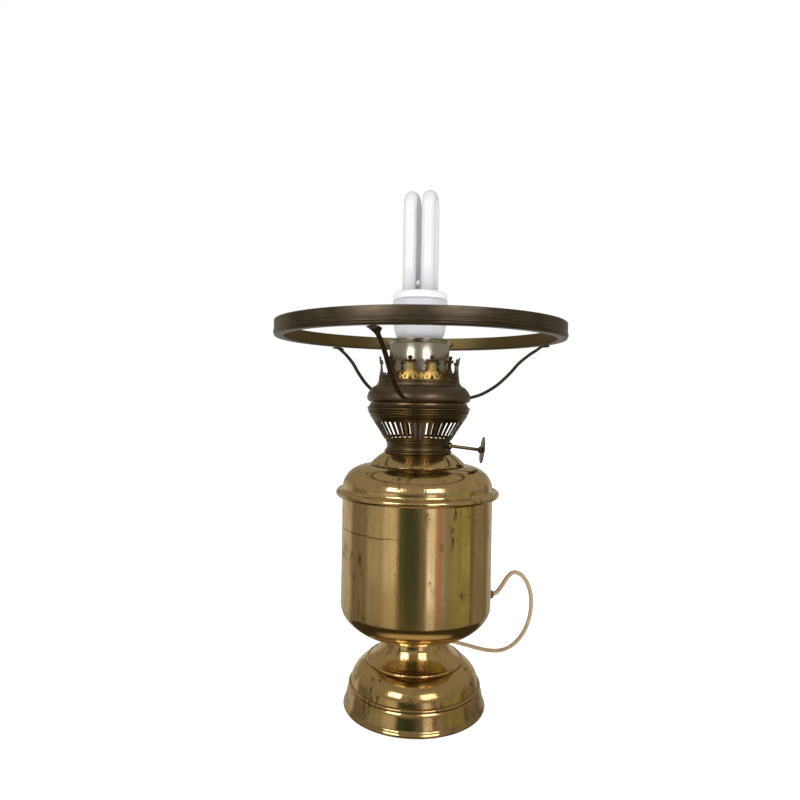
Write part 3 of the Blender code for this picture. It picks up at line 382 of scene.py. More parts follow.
# A ring extruded and scaled from point to point of its outline, as on a lathe
def turnOnLathe(outline, sides=144, closed=True):
    deselect()
    radius, height = outline[0]
    bpy.ops.mesh.primitive_circle_add(vertices=sides, radius=radius, location=(0, 0, height))
    piece = bpy.context.object
    bpy.ops.object.mode_set(mode="EDIT")
    bpy.ops.mesh.select_all(action="SELECT")
    path = outline[1:] + (outline[:1] if closed else [])
    for nextRadius, nextHeight in path:
        bpy.ops.mesh.extrude_region_move(TRANSFORM_OT_translate={"value": (0, 0, nextHeight - height)})
        share = nextRadius / radius
        bpy.ops.transform.resize(value=(share, share, 1), center_override=(0, 0, nextHeight))
        radius, height = nextRadius, nextHeight
    bpy.ops.mesh.select_all(action="SELECT")
    if closed:
        bpy.ops.mesh.remove_doubles(threshold=0.000002)
        bpy.ops.mesh.normals_make_consistent(inside=False)
    bpy.ops.object.mode_set(mode="OBJECT")
    bpy.ops.object.transform_apply(location=True, rotation=False, scale=False)
    return piece


def tubeCurve(name, points, radius, sides):
    curve = bpy.data.curves.new(name, "CURVE")
    curve.dimensions = "3D"
    curve.bevel_depth = radius
    curve.bevel_resolution = sides // 4 - 1
    curve.use_fill_caps = True
    spline = curve.splines.new("POLY")
    spline.points.add(len(points) - 1)
    for knot, point in zip(spline.points, points):
        knot.co = (*point, 1)
    spline.use_smooth = True
    tube = bpy.data.objects.new(name, curve)
    bpy.context.scene.collection.objects.link(tube)
    return tube


def pipe(name, points, radius, sides):
    choose(tubeCurve(name, points, radius, sides))
    bpy.ops.object.convert(target="MESH")
    return bpy.context.object


# A merged copy of a node, with its faces paired and its surface subdivided
def refine(node, name, levels, finish):
    solid = frame["nodes"][node]
    piece = bpy.data.objects.new(name, solid.data.copy())
    bpy.context.scene.collection.objects.link(piece)
    choose(piece)
    bpy.ops.object.mode_set(mode="EDIT")
    bpy.ops.mesh.select_all(action="SELECT")
    bpy.ops.mesh.remove_doubles(threshold=0.01 * mm)
    bpy.ops.mesh.tris_convert_to_quads(face_threshold=math.radians(30), shape_threshold=math.radians(60))
    bpy.ops.object.mode_set(mode="OBJECT")
    subdivide = piece.modifiers.new("smooth", "SUBSURF")
    subdivide.levels = levels
    subdivide.render_levels = levels
    applyAll(piece)
    settle(piece, name, node, finish)


# Flex: out of the font, down behind the lamp, round the coil and into the plug

flexSizes = {"diameter": 3.8 * mm, "length": 1.8, "exit": (0.06544, 0.01391, 0.0855)}
freeRoute = [(65.9, 14.0, 85.6), (69.6, 14.9, 87.4), (74.0, 16.4, 92.6), (78.6, 18.8, 98.6),
             (84.0, 22.2, 101.8), (89.9, 25.4, 100.2), (95.2, 28.6, 95.2), (99.6, 32.2, 87.6),
             (102.8, 36.8, 77.8), (104.4, 42.6, 66.0), (104.4, 49.8, 53.0), (102.6, 58.2, 39.8),
             (98.8, 67.6, 27.2), (93.0, 77.8, 16.0), (85.4, 88.2, 8.0), (76.0, 98.4, 3.6),
             (65.4, 107.8, 2.1), (54.0, 116.2, 2.0), (42.0, 123.4, 2.1), (29.6, 129.0, 2.6),
             (16.2, 132.2, 3.1)]
coilShape = {"centre": (0.0, 0.158), "columns": (25.3 * mm, 21.5 * mm, 17.7 * mm),
             "layers": (3.2 * mm, 7.0 * mm, 10.8 * mm, 14.6 * mm), "turns": 11.25, "steps": 36,
             "stepOver": 0.28, "plugPlace": (-25.3 * mm, 176.5 * mm, 7.1 * mm)}


# Each turn keeps to one layer and one column, and steps over to the next near its end
def coilRoute():
    shape = coilShape
    slots = [(0, 0), (0, 1), (0, 2), (1, 2), (1, 1), (1, 0), (2, 0), (2, 1), (2, 2), (3, 2), (3, 1), (3, 0)]
    centreX, centreY = shape["centre"]
    steps = shape["steps"]
    points = []
    for i in range(round(shape["turns"] * steps) + 1):
        turn = i // steps
        share = eased((i / steps - turn - 1 + shape["stepOver"]) / shape["stepOver"])
        layer, column = slots[turn]
        nextLayer, nextColumn = slots[min(turn + 1, len(slots) - 1)]
        radius = shape["columns"][column] * (1 - share) + shape["columns"][nextColumn] * share
        height = shape["layers"][layer] * (1 - share) + shape["layers"][nextLayer] * share
        angle = -math.pi / 2 - math.tau * i / steps
        points.append((centreX + radius * math.cos(angle), centreY + radius * math.sin(angle), height))
    return points


def layFlex():
    start = [tuple(value * mm for value in point) for point in freeRoute]
    wound = coilRoute()
    lastX, lastY, lastZ = wound[-1]
    plugX, plugY, plugZ = coilShape["plugPlace"]
    tail = [(plugX, lastY + (plugY - lastY) * share, lastZ + (plugZ - lastZ) * eased(share))
            for share in (0.25, 0.5, 0.75, 1.0)]
    points = flowing(start + wound[:1], 6)[:-1] + wound + tail
    flex = tubeCurve("flex", points, flexSizes["diameter"] / 2, 16)
    flex.data.materials.append(flexSkin)
    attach(flex, "root")
    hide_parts("cord", "cord_coil")
    length = sum((Vector(b) - Vector(a)).length for a, b in zip(points, points[1:]))
    report("flex is %.3f m long" % length)


# Turned brass: foot, font, cover and collar

footShape = {"neck": 25.5, "top": 57.5, "wall": 1.0, "hole": 4.6, "lip": (56.3, 1.8, 1.5),
             "beads": ((37.9, 37.4, 1.5), (52.4, 18.1, 1.4)),
             "cone": [(25.5, 57.5), (25.5, 54.6), (26.2, 51.4), (27.6, 48.6), (30.3, 44.6), (33.9, 41.0),
                      (36.7, 38.8)],
             "dome": [(39.6, 36.4), (41.6, 35.3), (45.4, 32.6), (48.6, 29.0), (50.7, 25.0), (51.7, 21.2),
                      (51.9, 19.6)],
             "band": [(53.2, 16.6), (54.0, 15.2), (54.9, 12.0), (55.5, 9.0), (56.2, 5.6), (56.9, 4.2)]}
fontShape = {"radius": 61.2, "base": 57.8, "roundTop": 82.3, "power": 1.75, "top": 172.3, "floor": 25.5,
             "wall": 0.9, "hole": 4.6}
flexHole = {"angle": 12.0, "height": 85.5, "radius": 4.2, "depth": 9.0, "reach": 60.7}
coverShape = {"roll": (63.9, 173.4, 2.7), "shoulder": 61.0, "domeFoot": 178.5, "top": 195.8, "step": 38.8,
              "wall": 0.9, "bore": 27.0, "seam": [(37.2, 195.8), (37.8, 195.45)],
              "cove": [(61.1, 177.2), (61.7, 176.4)], "under": [(61.5, 171.0), (61.5, 172.6), (59.9, 172.6)]}
collarShape = {"base": 196.1, "top": 205.4, "bore": 26.3,
               "cone": [(38.4, 196.1), (38.7, 196.6), (37.0, 198.5), (33.4, 201.8), (29.4, 204.6),
                        (27.7, 205.4)]}


def modelFoot():
    shape = footShape
    cone, dome, band = [curved(shape[stretch], 4) for stretch in ("cone", "dome", "band")]
    upperBead, lowerBead = [arcRound(*bead, 80, -80, 10) for bead in shape["beads"]]
    skin = cone + upperBead + dome + lowerBead + band + arcRound(*shape["lip"], 50, -190, 16)
    inside = innerWall(cone + dome + band, shape["wall"])[::-1]
    level = shape["top"] - shape["wall"]
    inside = inside[:-2] + [(shape["neck"] - 2 * shape["wall"], level), (shape["hole"], level)]
    outline = skin + inside + [(shape["hole"], shape["top"])]
    settle(turnOnLathe(scaled(outline)), "spunFoot", "foot", footBrass)


def modelFont():
    shape = fontShape
    radius, base, wall = shape["radius"], shape["base"], shape["wall"]
    sides = [(radius, shape["top"] - 10 * i) for i in range(9)]
    skin = softCorner((radius, shape["roundTop"]), (shape["floor"], base), shape["power"])
    inner = softCorner((radius - wall, shape["roundTop"]), (shape["floor"], base + wall), shape["power"])
    outline = sides + skin + [(shape["hole"], base), (shape["hole"], base + wall)]
    outline += inner[::-1] + [(radius - wall, shape["top"])]
    font = turnOnLathe(scaled(outline), 160)
    drillFont(font)
    settle(font, "spunFont", "font_bowl", brass)


def drillFont(font):
    deselect()
    angle = math.radians(flexHole["angle"])
    out = Vector((math.cos(angle), math.sin(angle), 0))
    place = out * flexHole["reach"] * mm + Vector((0, 0, flexHole["height"] * mm))
    bpy.ops.mesh.primitive_cylinder_add(vertices=32, radius=flexHole["radius"] * mm,
                                        depth=flexHole["depth"] * mm, location=place,
                                        rotation=(0, math.pi / 2, angle))
    drill = bpy.context.object
    choose(font)
    hole = font.modifiers.new("hole", "BOOLEAN")
    hole.operation = "DIFFERENCE"
    hole.solver = "EXACT"
    hole.object = drill
    applyAll(font)
    bpy.data.objects.remove(drill)


def modelCover():
    shape = coverShape
    rise = shape["top"] - shape["domeFoot"]
    reach = shape["shoulder"] - shape["step"]
    turns = [math.radians(t) for t in range(0, 91, 5)]
    dome = [(shape["step"] + reach * math.sin(t), shape["domeFoot"] + rise * math.cos(t)) for t in turns]
    skin = [(shape["bore"], shape["top"])] + shape["seam"] + dome + shape["cove"]
    roll = arcRound(*shape["roll"], 118, -95, 18)
    ceiling = innerWall(dome, shape["wall"])[::-2]
    inside = shape["under"] + ceiling + [(shape["bore"], shape["top"] - shape["wall"])]
    settle(turnOnLathe(scaled(skin + roll + inside), 160), "domedCover", "font_cover", brass)


def modelCollar():
    shape = collarShape
    outline = curved(shape["cone"], 5) + [(shape["bore"], shape["top"]), (shape["bore"], shape["base"])]
    settle(turnOnLathe(scaled(outline), 128), "burnerCollar", "font_collar", brass)


modelFoot()
modelFont()
modelCover()
modelCollar()
report("foot and font turned")


# Burner: neck, slotted basket and beaded rim

neckShape = {"base": 205.7, "top": 216.3, "bore": 24.3, "spigot": 26.0, "spigotBase": 199.7,
             "lowBead": (26.8, 206.6, 0.9), "ring": (26.2, 208.1, 0.55), "topBead": (25.8, 215.4, 0.9),
             "waist": [(26.1, 208.9), (25.6, 210.2), (25.6, 212.4), (26.1, 214.2)]}
basketShape = {"slots": 44, "slotShare": 0.5, "slotLow": 218.5, "slotHigh": 231.3, "wall": 0.6, "edge": 0.10,
               "flank": [(27.9, 216.6), (28.3, 217.4), (28.8, 218.5), (29.6, 219.6), (31.6, 223.0),
                         (33.8, 226.4), (35.8, 229.4), (37.0, 231.3), (38.3, 233.2), (39.2, 234.6),
                         (39.6, 235.6)]}
rimShape = {"low": [(39.8, 235.9), (39.9, 236.6)], "beads": ((40.2, 238.0, 0.75), (40.9, 239.6, 0.7)),
            "brow": (41.1, 241.7, 0.95),
            "slope": [(40.9, 242.9), (40.2, 244.0), (39.7, 244.9), (39.5, 245.4), (39.4, 246.5)],
            "inside": [(37.4, 246.5), (37.4, 239.9), (38.8, 235.9)]}


def modelNeck():
    shape = neckShape
    skin = arcRound(*shape["lowBead"], -90, 70, 8) + arcRound(*shape["ring"], -60, 60, 6)
    skin += curved(shape["waist"], 4) + arcRound(*shape["topBead"], -60, 90, 8)
    inside = [(shape["bore"], shape["top"]), (shape["bore"], shape["spigotBase"]),
              (shape["spigot"], shape["spigotBase"]), (shape["spigot"], shape["base"])]
    settle(turnOnLathe(scaled(skin + inside), 128), "burnerNeckRings", "burner_neck", agedBrass)


def modelBasket():
    shape = basketShape
    piece = turnOnLathe(scaled(shape["flank"]), 4 * shape["slots"], closed=False)
    sheet = bmesh.new()
    sheet.from_mesh(piece.data)
    bmesh.ops.delete(sheet, geom=[face for face in sheet.faces if slotFace(face)], context="FACES")
    sheet.to_mesh(piece.data)
    sheet.free()
    choose(piece)
    first = piece.data.polygons[0]
    wall = piece.modifiers.new("wall", "SOLIDIFY")
    wall.thickness = shape["wall"] * mm
    wall.offset = -1 if first.normal.dot(first.center * Vector((1, 1, 0))) > 0 else 1
    wall.use_even_offset = True
    edge = piece.modifiers.new("edge", "BEVEL")
    edge.width = shape["edge"] * mm
    edge.segments = 1
    edge.limit_method = "ANGLE"
    edge.angle_limit = math.radians(50)
    applyAll(piece)
    settle(piece, "slottedBasket", "burner_basket", agedBrass)


def slotFace(face):
    shape = basketShape
    centre = face.calc_center_median()
    share = math.atan2(centre.y, centre.x) / math.tau * shape["slots"] % 1
    return share < shape["slotShare"] and shape["slotLow"] * mm < centre.z < shape["slotHigh"] * mm


def modelRim():
    shape = rimShape
    lower, upper = shape["beads"]
    skin = shape["low"] + arcRound(*lower, -70, 70, 6) + arcRound(*upper, -60, 60, 6)
    skin += arcRound(*shape["brow"], -60, 80, 7) + shape["slope"]
    settle(turnOnLathe(scaled(skin + shape["inside"]), 160), "beadedRim", "basket_rim", agedBrass)


modelNeck()
modelBasket()
modelRim()
report("burner turned")


# Electric holder: seat ring and nickel sleeve

seatShape = {"outside": [(24.7, 262.6), (25.3, 263.2), (25.3, 270.4)], "brow": (25.1, 271.4, 0.5),
             "inside": [(23.7, 272.2), (23.7, 263.6), (5.3, 263.6), (5.3, 262.6)]}
sleeveShape = {"radius": 24.4, "base": 272.5, "top": 297.8, "wall": 0.8, "lip": 0.75,
               "bead": (24.25, 274.7, 0.4), "groove": [(24.4, 293.8), (24.15, 294.1), (24.4, 294.4)]}


def modelSleeve():
    seat = seatShape["outside"] + arcRound(*seatShape["brow"], -40, 90, 6) + seatShape["inside"]
    settle(turnOnLathe(scaled(seat), 128), "seatRing", "sleeve_seat", gilt)
    shape = sleeveShape
    radius, inner = shape["radius"], shape["radius"] - shape["wall"]
    sleeve = [(radius, shape["base"])] + arcRound(*shape["bead"], -70, 70, 5) + shape["groove"]
    sleeve += arcRound(radius, shape["top"] - shape["lip"], shape["lip"], -80, 150, 12)
    sleeve += [(inner, shape["top"] - 1.2), (inner, shape["base"])]
    settle(turnOnLathe(scaled(sleeve), 160), "nickelSleeveTube", "holder_sleeve", nickel)


modelSleeve()
report("holder turned")


# Shade holder: skirt, crown of prongs, ring, strap and arms

skirtShape = {"wall": 1.2, "bead": (34.6, 260.3, 0.55),
              "shoulder": [(33.6, 262.6), (33.9, 262.0), (34.1, 261.2), (34.1, 260.9)],
              "bulge": [(35.2, 259.9), (36.5, 259.5), (38.2, 258.3), (39.8, 256.5), (41.1, 254.6),
                        (42.0, 252.4), (42.3, 250.6), (42.1, 248.9), (41.3, 247.7), (39.9, 246.8)],
              "foot": (38.6, 246.8),
              "ledge": [(31.8, 261.4), (26.3, 261.4), (26.3, 262.9), (31.1, 262.9), (31.1, 262.6)]}
crownShape = {"base": 262.9, "radius": 33.3, "waist": 1.0, "height": 20.4, "prongs": 12, "turn": 16,
              "wall": 0.7, "flare": 1.65, "flareFrom": 0.72, "gridAcross": 1.2, "gridUp": 2.5,
              "halfProng": [(0.0, 20.4), (1.0, 20.2), (1.7, 19.5), (1.9, 18.6), (1.6, 17.8), (1.3, 17.4),
                            (1.7, 16.9), (2.6, 17.0), (3.4, 17.4), (4.2, 17.2), (4.6, 16.4), (4.4, 15.5),
                            (3.6, 15.0), (2.9, 15.3), (2.5, 15.6), (2.1, 14.9), (1.9, 13.6), (1.9, 12.2),
                            (2.3, 10.7), (3.0, 9.3), (3.9, 8.1), (4.9, 7.4), (5.6, 7.5), (6.0, 6.9),
                            (5.7, 6.1), (6.1, 5.5), (6.9, 5.6), (7.6, 6.4), (8.1, 7.3)], "valley": 7.6,
              "arch": [(-1.3, 1.9), (1.3, 1.9), (1.45, 3.0), (1.05, 4.3), (0.45, 5.3), (0.0, 6.1),
                       (-0.45, 5.3), (-1.05, 4.3), (-1.45, 3.0)],
              "rounds": ((4.0, 4.3, 0.95), (-4.0, 4.3, 0.95), (6.9, 3.3, 0.75), (-6.9, 3.3, 0.75),
                         (0, 8.6, 0.55))}
ringShape = {"radius": 117.5, "base": 297.6, "height": 12.3, "wall": 1.0, "flange": 7.2, "corner": 1.2,
             "bead": (117.15, 300.3, 0.95), "ridge": (117.25, 302.6, 0.45)}


def crownFinish():
    f = Finish("rubbedAndHighlitCrown")
    clouds = f.noise(45, 5, 0.65)
    fine = f.noise(380, 4, 0.7)
    # Gilt on the front-facing prongs between their feet and crossbar: partly rubbed lacquer, partly a painted
    # highlight on the side that faces the windows; the worn mask below carries both
    front = f.ramp(f.axis("Y") * -10, (0.275, 0.0), (0.302, 1.0))
    height = f.height() * 10 + (clouds - 0.5) * 0.012
    body = f.ramp((height - 2.62) * 4, (0.10, 0.0), (0.16, 1.0), (0.60, 1.0), (0.66, 0.0))
    worn = (front * body * f.ramp(fine, (0.30, 0.4), (0.48, 1.0))).clamp()
    mask = f.ramp(clouds * 0.6 + fine * 0.4, (0.38, 0.0), (0.62, 1.0))
    base = f.mix(mask, (0.075, 0.052, 0.028), (0.20, 0.135, 0.055))
    f.bump(fine, 0.15, 0.0004)
    return f.set(colour=f.mix(worn, base, (0.92, 0.62, 0.20)), metallic=1.0,
                 roughness=(fine * 0.2 + clouds * 0.15 + 0.22 - worn * 0.06).clamp())


def ringFinish():
    f = Finish("shadeRingBronze")
    clouds = f.noise(18, 5, 0.65, warp=0.5)
    fine = f.noise(300, 4, 0.7)
    drawn = f.noise(60, 3, 0.6, f.stretch((1, 1, 14)))
    inner = f.ramp((f.radius() - 0.1165) * 1000, (0.30, 1.0), (0.62, 0.0))
    inner = inner * f.ramp((f.height() - 0.2976) * 500, (0.35, 0.0), (0.50, 1.0))
    topEdge = f.ramp((f.height() - 0.3092) * 1000, (0.1, 0.0), (0.6, 1.0))
    bright = f.mix(clouds, (0.27, 0.20, 0.085), (0.15, 0.105, 0.045))
    patchy = f.ramp(clouds * 0.6 + drawn * 0.4, (0.36, 0.0), (0.64, 1.0))
    dark = f.mix(patchy, (0.065, 0.051, 0.036), (0.185, 0.145, 0.102))
    colour = f.mix((inner + topEdge * 0.75).clamp(), dark, bright)
    f.bump(fine * 0.5 + drawn * 0.5, 0.12, 0.0004)
    return f.set(colour=colour, metallic=1.0, roughness=(fine * 0.16 + clouds * 0.14 + 0.22).clamp())


crownMetal = crownFinish()
ringMetal = ringFinish()


def modelSkirt():
    shape = skirtShape
    flank = shape["shoulder"] + arcRound(*shape["bead"], 80, -60, 6) + curved(shape["bulge"], 4)
    inside = innerWall(flank[12:-1], shape["wall"])[::-3]
    outline = flank + [shape["foot"]] + inside[:-1] + shape["ledge"]
    settle(turnOnLathe(scaled(outline), 160), "bulgedSkirt", "gallery_skirt", bronze)


def prongOutline():
    edge = math.pi * crownShape["radius"] / crownShape["prongs"]
    right = curved(crownShape["halfProng"], 3) + [(edge, crownShape["valley"]), (edge, 0.0)]
    left = [(-x, y) for x, y in right[::-1]][:-1]
    return right + left


def cellHoles():
    turns = [math.tau * i / 14 for i in range(14)]
    rounds = [[(x + size * math.cos(t), y + size * math.sin(t)) for t in turns]
              for x, y, size in crownShape["rounds"]]
    return [crownShape["arch"]] + rounds


def flatSheet(name, outlines):
    curve = bpy.data.curves.new(name, "CURVE")
    curve.dimensions = "2D"
    curve.fill_mode = "BOTH"
    for outline in outlines:
        spline = curve.splines.new("POLY")
        spline.points.add(len(outline) - 1)
        for knot, (x, y) in zip(spline.points, outline):
            knot.co = (x, y, 0, 1)
        spline.use_cyclic_u = True
    sheet = bpy.data.objects.new(name, curve)
    bpy.context.scene.collection.objects.link(sheet)
    choose(sheet)
    bpy.ops.object.convert(target="MESH")
    return bpy.context.object


def cutAcross(axis, places):
    for place in places:
        point = [0, 0, 0]
        point[axis] = place
        normal = [0, 0, 0]
        normal[axis] = 1
        bpy.ops.object.mode_set(mode="EDIT")
        bpy.ops.mesh.select_all(action="SELECT")
        bpy.ops.mesh.bisect(plane_co=point, plane_no=normal)
        bpy.ops.object.mode_set(mode="OBJECT")


def modelCrown():
    shape = crownShape
    cell = flatSheet("crownCell", [prongOutline()] + cellHoles())
    cutAcross(0, [shape["gridAcross"] * i for i in range(-6, 7)])
    cutAcross(1, [shape["gridUp"] * i for i in range(1, 8)])
    flat = [(v.co.x, v.co.y) for v in cell.data.vertices]
    copies = []
    for i in range(shape["prongs"]):
        copy = bpy.data.objects.new("crownCell", cell.data.copy())
        bpy.context.scene.collection.objects.link(copy)
        copies.append(copy)
        for vertex, (x, y) in zip(copy.data.vertices, flat):
            angle = x / shape["radius"] + math.tau * i / shape["prongs"] + math.radians(shape["turn"] - 90)
            share = y / shape["height"]
            reach = shape["radius"] - shape["waist"] * math.sin(math.pi * min(max(share, 0), 1))
            reach += shape["flare"] * max(share - shape["flareFrom"], 0)
            vertex.co = (reach * math.cos(angle) * mm, reach * math.sin(angle) * mm, (shape["base"] + y) * mm)
    bpy.data.objects.remove(cell)
    choose(*copies)
    bpy.ops.object.join()
    crown = bpy.context.object
    bpy.ops.object.mode_set(mode="EDIT")
    bpy.ops.mesh.select_all(action="SELECT")
    bpy.ops.mesh.remove_doubles(threshold=0.01 * mm)
    bpy.ops.mesh.normals_make_consistent(inside=False)
    bpy.ops.object.mode_set(mode="OBJECT")
    outward = sum(1 if face.normal.dot(Vector((face.center.x, face.center.y, 0))) > 0 else -1
                  for face in crown.data.polygons)
    wall = crown.modifiers.new("wall", "SOLIDIFY")
    wall.thickness = shape["wall"] * mm
    wall.offset = -1 if outward > 0 else 1
    applyAll(crown)
    settle(crown, "prongedCrown", "gallery_crown", crownMetal)


def modelRing():
    shape = ringShape
    outer, base, wall = shape["radius"], shape["base"], shape["wall"]
    top = base + shape["height"]
    bead = arcRound(*shape["bead"], 70, -70, 8)
    ridge = arcRound(*shape["ridge"], 60, -60, 5)
    corner = arcRound(outer - shape["corner"], base + shape["corner"], shape["corner"], 0, -90, 6)
    edge = outer - shape["flange"]
    flange = arcRound(edge, base + wall / 2, wall / 2, -90, -270, 6)
    inner = [(outer - 2.0, base + wall), (outer - wall, base + 2.0), (outer - wall, top - 0.5)]
    crest = arcRound(outer - wall / 2, top - wall / 2, wall / 2 + 0.05, 180, 0, 8)
    profile = crest + ridge + bead + corner + flange + inner
    settle(turnOnLathe(scaled(profile), 240), "shadeRingBand", "shade_ring", ringMetal)


armShape = {"turns": {"front": -107.3, "right": 12.7, "rear": 132.7}, "start": (43.2, 250.75),
            "end": (113.5, 296.4), "radius": 1.3, "width": 1.42, "tipWidth": 0.7, "tipLength": 8.0,
            "padStart": 103.0, "padBlend": 6.0, "padHalf": 4.75, "padThickness": 1.8,
            "sweep": [(0, 0), (0.166, 0.08), (0.354, 0.25), (0.517, 0.475), (0.631, 0.665), (0.766, 0.83),
                      (0.87, 0.93), (0.93, 0.985), (1, 1)]}


# A round rod along the sweep, flattened into a pad under the ring's flange
def modelArm(name, degrees):
    shape = armShape
    (startRadius, startHeight), (endRadius, endHeight) = shape["start"], shape["end"]
    knots = [(startRadius + (endRadius - startRadius) * u, startHeight + (endHeight - startHeight) * v)
             for u, v in shape["sweep"]]
    route = [(r * mm, 0, min(z, endHeight) * mm) for r, z in curved(knots, 8)]
    arm = pipe(name + "Arm", route, shape["radius"] * mm, 24)
    level = endHeight * mm
    for vertex in arm.data.vertices:
        place = vertex.co
        pad = eased((place.x / mm - shape["padStart"]) / shape["padBlend"])
        tip = max(min((place.x / mm - startRadius) / shape["tipLength"], 1), 0)
        width = shape["width"] * (shape["tipWidth"] + (1 - shape["tipWidth"]) * tip)
        place.y *= width + (shape["padHalf"] / shape["radius"] - width) * pad
        if pad:
            flat = shape["padThickness"] / 2 / shape["radius"]
            place.z = level + (place.z - level) * (1 - pad + pad * flat)
    arm.data.transform(Matrix.Rotation(math.radians(degrees), 4, "Z"))
    settle(arm, name + "Arm", "shade_arm_" + name, armBronze)


modelSkirt()
modelCrown()
modelRing()
refine("ring_splice", "ringStrap", 1, ringMetal)
for armName, armTurn in armShape["turns"].items():
    modelArm(armName, armTurn)
report("shade holder made")


# Bulb: cap, housing, tube collars and bent tubes

housingShape = {"base": 293.4, "split": 329.4, "radius": 22.2, "wall": 1.4, "mouth": 7.0, "floor": 14.8,
                "flank": [(22.2, 327.0), (22.2, 322.2), (22.0, 316.5), (21.6, 311.0), (20.5, 304.5),
                          (18.8, 299.0), (17.2, 294.6), (16.4, 293.4)],
                "capBase": 329.7, "capTop": 336.3, "capRound": 3.6}
tubeShape = {"radius": 5.5, "limb": 10.63, "limbTurn": 209.6, "base": 336.6, "height": 83.0, "straight": 30.0,
             "collar": [(5.6, 0.0), (6.6, 0.0)], "collarBrow": (6.1, 0.9, 0.5), "collarTop": (5.6, 1.4)}
threadShape = {"base": 278.0, "pitch": 3.2, "turns": 4,
               "ridge": [(12.3, 0.0), (12.9, 0.8), (13.2, 1.6), (12.9, 2.4)],
               "foot": [(11.0, 275.9), (11.9, 276.6)],
               "top": [(12.5, 291.6), (12.8, 293.1), (11.8, 293.1), (11.8, 276.9), (10.3, 276.0)]}


def modelHousing():
    shape = housingShape
    radius, wall, base = shape["radius"], shape["wall"], shape["base"]
    skin = arcRound(radius - 0.5, shape["split"] - 0.5, 0.5, 80, 0, 5) + curved(shape["flank"], 5)
    floor = [(shape["mouth"], base), (shape["mouth"], base + wall), (shape["floor"], base + wall)]
    inner = innerWall(skin[8:-4], wall)[::-2]
    outline = skin + floor + inner + [(radius - wall, shape["split"])]
    settle(turnOnLathe(scaled(outline), 128), "lowerHousing", "bulb_housing_lower", housing)
    low, top = shape["capBase"], shape["capTop"]
    cap = [(1.0, low), (radius - 1.2, low), (radius - 1.0, low + 0.5), (radius - 0.3, low + 0.6)]
    cap += arcRound(radius - shape["capRound"], top - shape["capRound"], shape["capRound"], 0, 90, 14)
    cap += [(14.0, top), (1.0, top - 0.2)]
    # The upper housing takes the lighter copy of the plastic: painted light on its top
    settle(turnOnLathe(scaled(cap), 128), "upperHousing", "bulb_housing_upper", litHousingCopy)


def limbFeet():
    turns = [math.radians(tubeShape["limbTurn"] + 90 * k) for k in range(4)]
    return [Vector((tubeShape["limb"] * math.cos(t), tubeShape["limb"] * math.sin(t), 0)) for t in turns]


def modelTubes():
    shape = tubeShape
    feet = limbFeet()
    base = shape["base"]
    for name, node, one, other in (("leftTube", "bulb_tube_left", feet[0], feet[3]),
                                   ("rightTube", "bulb_tube_right", feet[1], feet[2])):
        middle = (one + other) / 2
        half = (one - other) / 2
        bend = base + shape["height"] - shape["radius"] - half.length
        levels = (base, base + shape["straight"], bend - 8, bend - 3)
        route = [(one.x, one.y, level) for level in levels]
        for i in range(25):
            turn = math.pi * i / 24
            place = middle + half * math.cos(turn)
            route.append((place.x, place.y, bend + half.length * math.sin(turn)))
        route += [(other.x, other.y, level) for level in levels[::-1]]
        route = [tuple(value * mm for value in point) for point in route]
        piece = pipe(name, route, shape["radius"] * mm, 40)
        settle(piece, name, node, glass)
    profile = shape["collar"] + arcRound(*shape["collarBrow"], 0, 100, 6) + [shape["collarTop"]]
    for k, foot in enumerate(feet):
        collar = turnOnLathe(scaled([(r, z + housingShape["capTop"]) for r, z in profile]), 64)
        collar.data.transform(Matrix.Translation((foot.x * mm, foot.y * mm, 0)))
        settle(collar, "tubeCollar%d" % (k + 1), "bulb_housing_upper", housing, standsFor=False)


def modelCap():
    shape = threadShape
    thread = [(radius, shape["base"] + shape["pitch"] * i + rise)
              for i in range(shape["turns"]) for radius, rise in shape["ridge"]]
    settle(turnOnLathe(scaled(shape["foot"] + thread + shape["top"]), 96), "threadedCap", "bulb_cap", steel)


modelHousing()
modelTubes()
modelCap()
refine("bulb_bridge", "glassBridge", 1, glass)
report("bulb made")


# Wick winder: spindle, hub and knurled disc on a sloping axis

winderShape = {"slope": 6.6, "height": 214.385, "discAt": 53.2, "teeth": 56, "notchFrom": 10.5,
               "notch": 0.962,
               "spindle": [(0.2, 10.0), (1.2, 10.0), (1.4, 10.2), (1.4, 48.9), (1.25, 49.2), (1.4, 49.5),
                           (1.4, 54.6), (1.35, 55.0), (1.0, 55.4), (0.2, 55.6)],
               "hub": [(1.7, 49.9), (2.2, 49.9), (2.6, 50.3), (2.6, 51.0), (2.3, 51.4), (2.6, 51.8),
                       (2.6, 52.3), (1.7, 52.3)],
               "bush": [(1.7, 24.3), (2.9, 24.3), (2.9, 27.2), (2.7, 27.6), (2.3, 28.0), (1.7, 28.0)],
               "face": [(1.7, -0.6), (3.0, -0.6), (3.4, -0.45), (8.6, -0.3), (9.2, -0.6), (10.7, -0.6),
                        (11.0, -0.3), (11.0, 0.3), (10.7, 0.6), (9.2, 0.6), (8.6, 0.3), (3.4, 0.45),
                        (3.0, 0.6), (1.7, 0.6)]}


# Turns upright onto the spindle's sloping axis
def alongWinder():
    return (Matrix.Translation((0, 0, winderShape["height"] * mm))
            @ Matrix.Rotation(math.pi / 2 + math.radians(winderShape["slope"]), 4, "Y"))


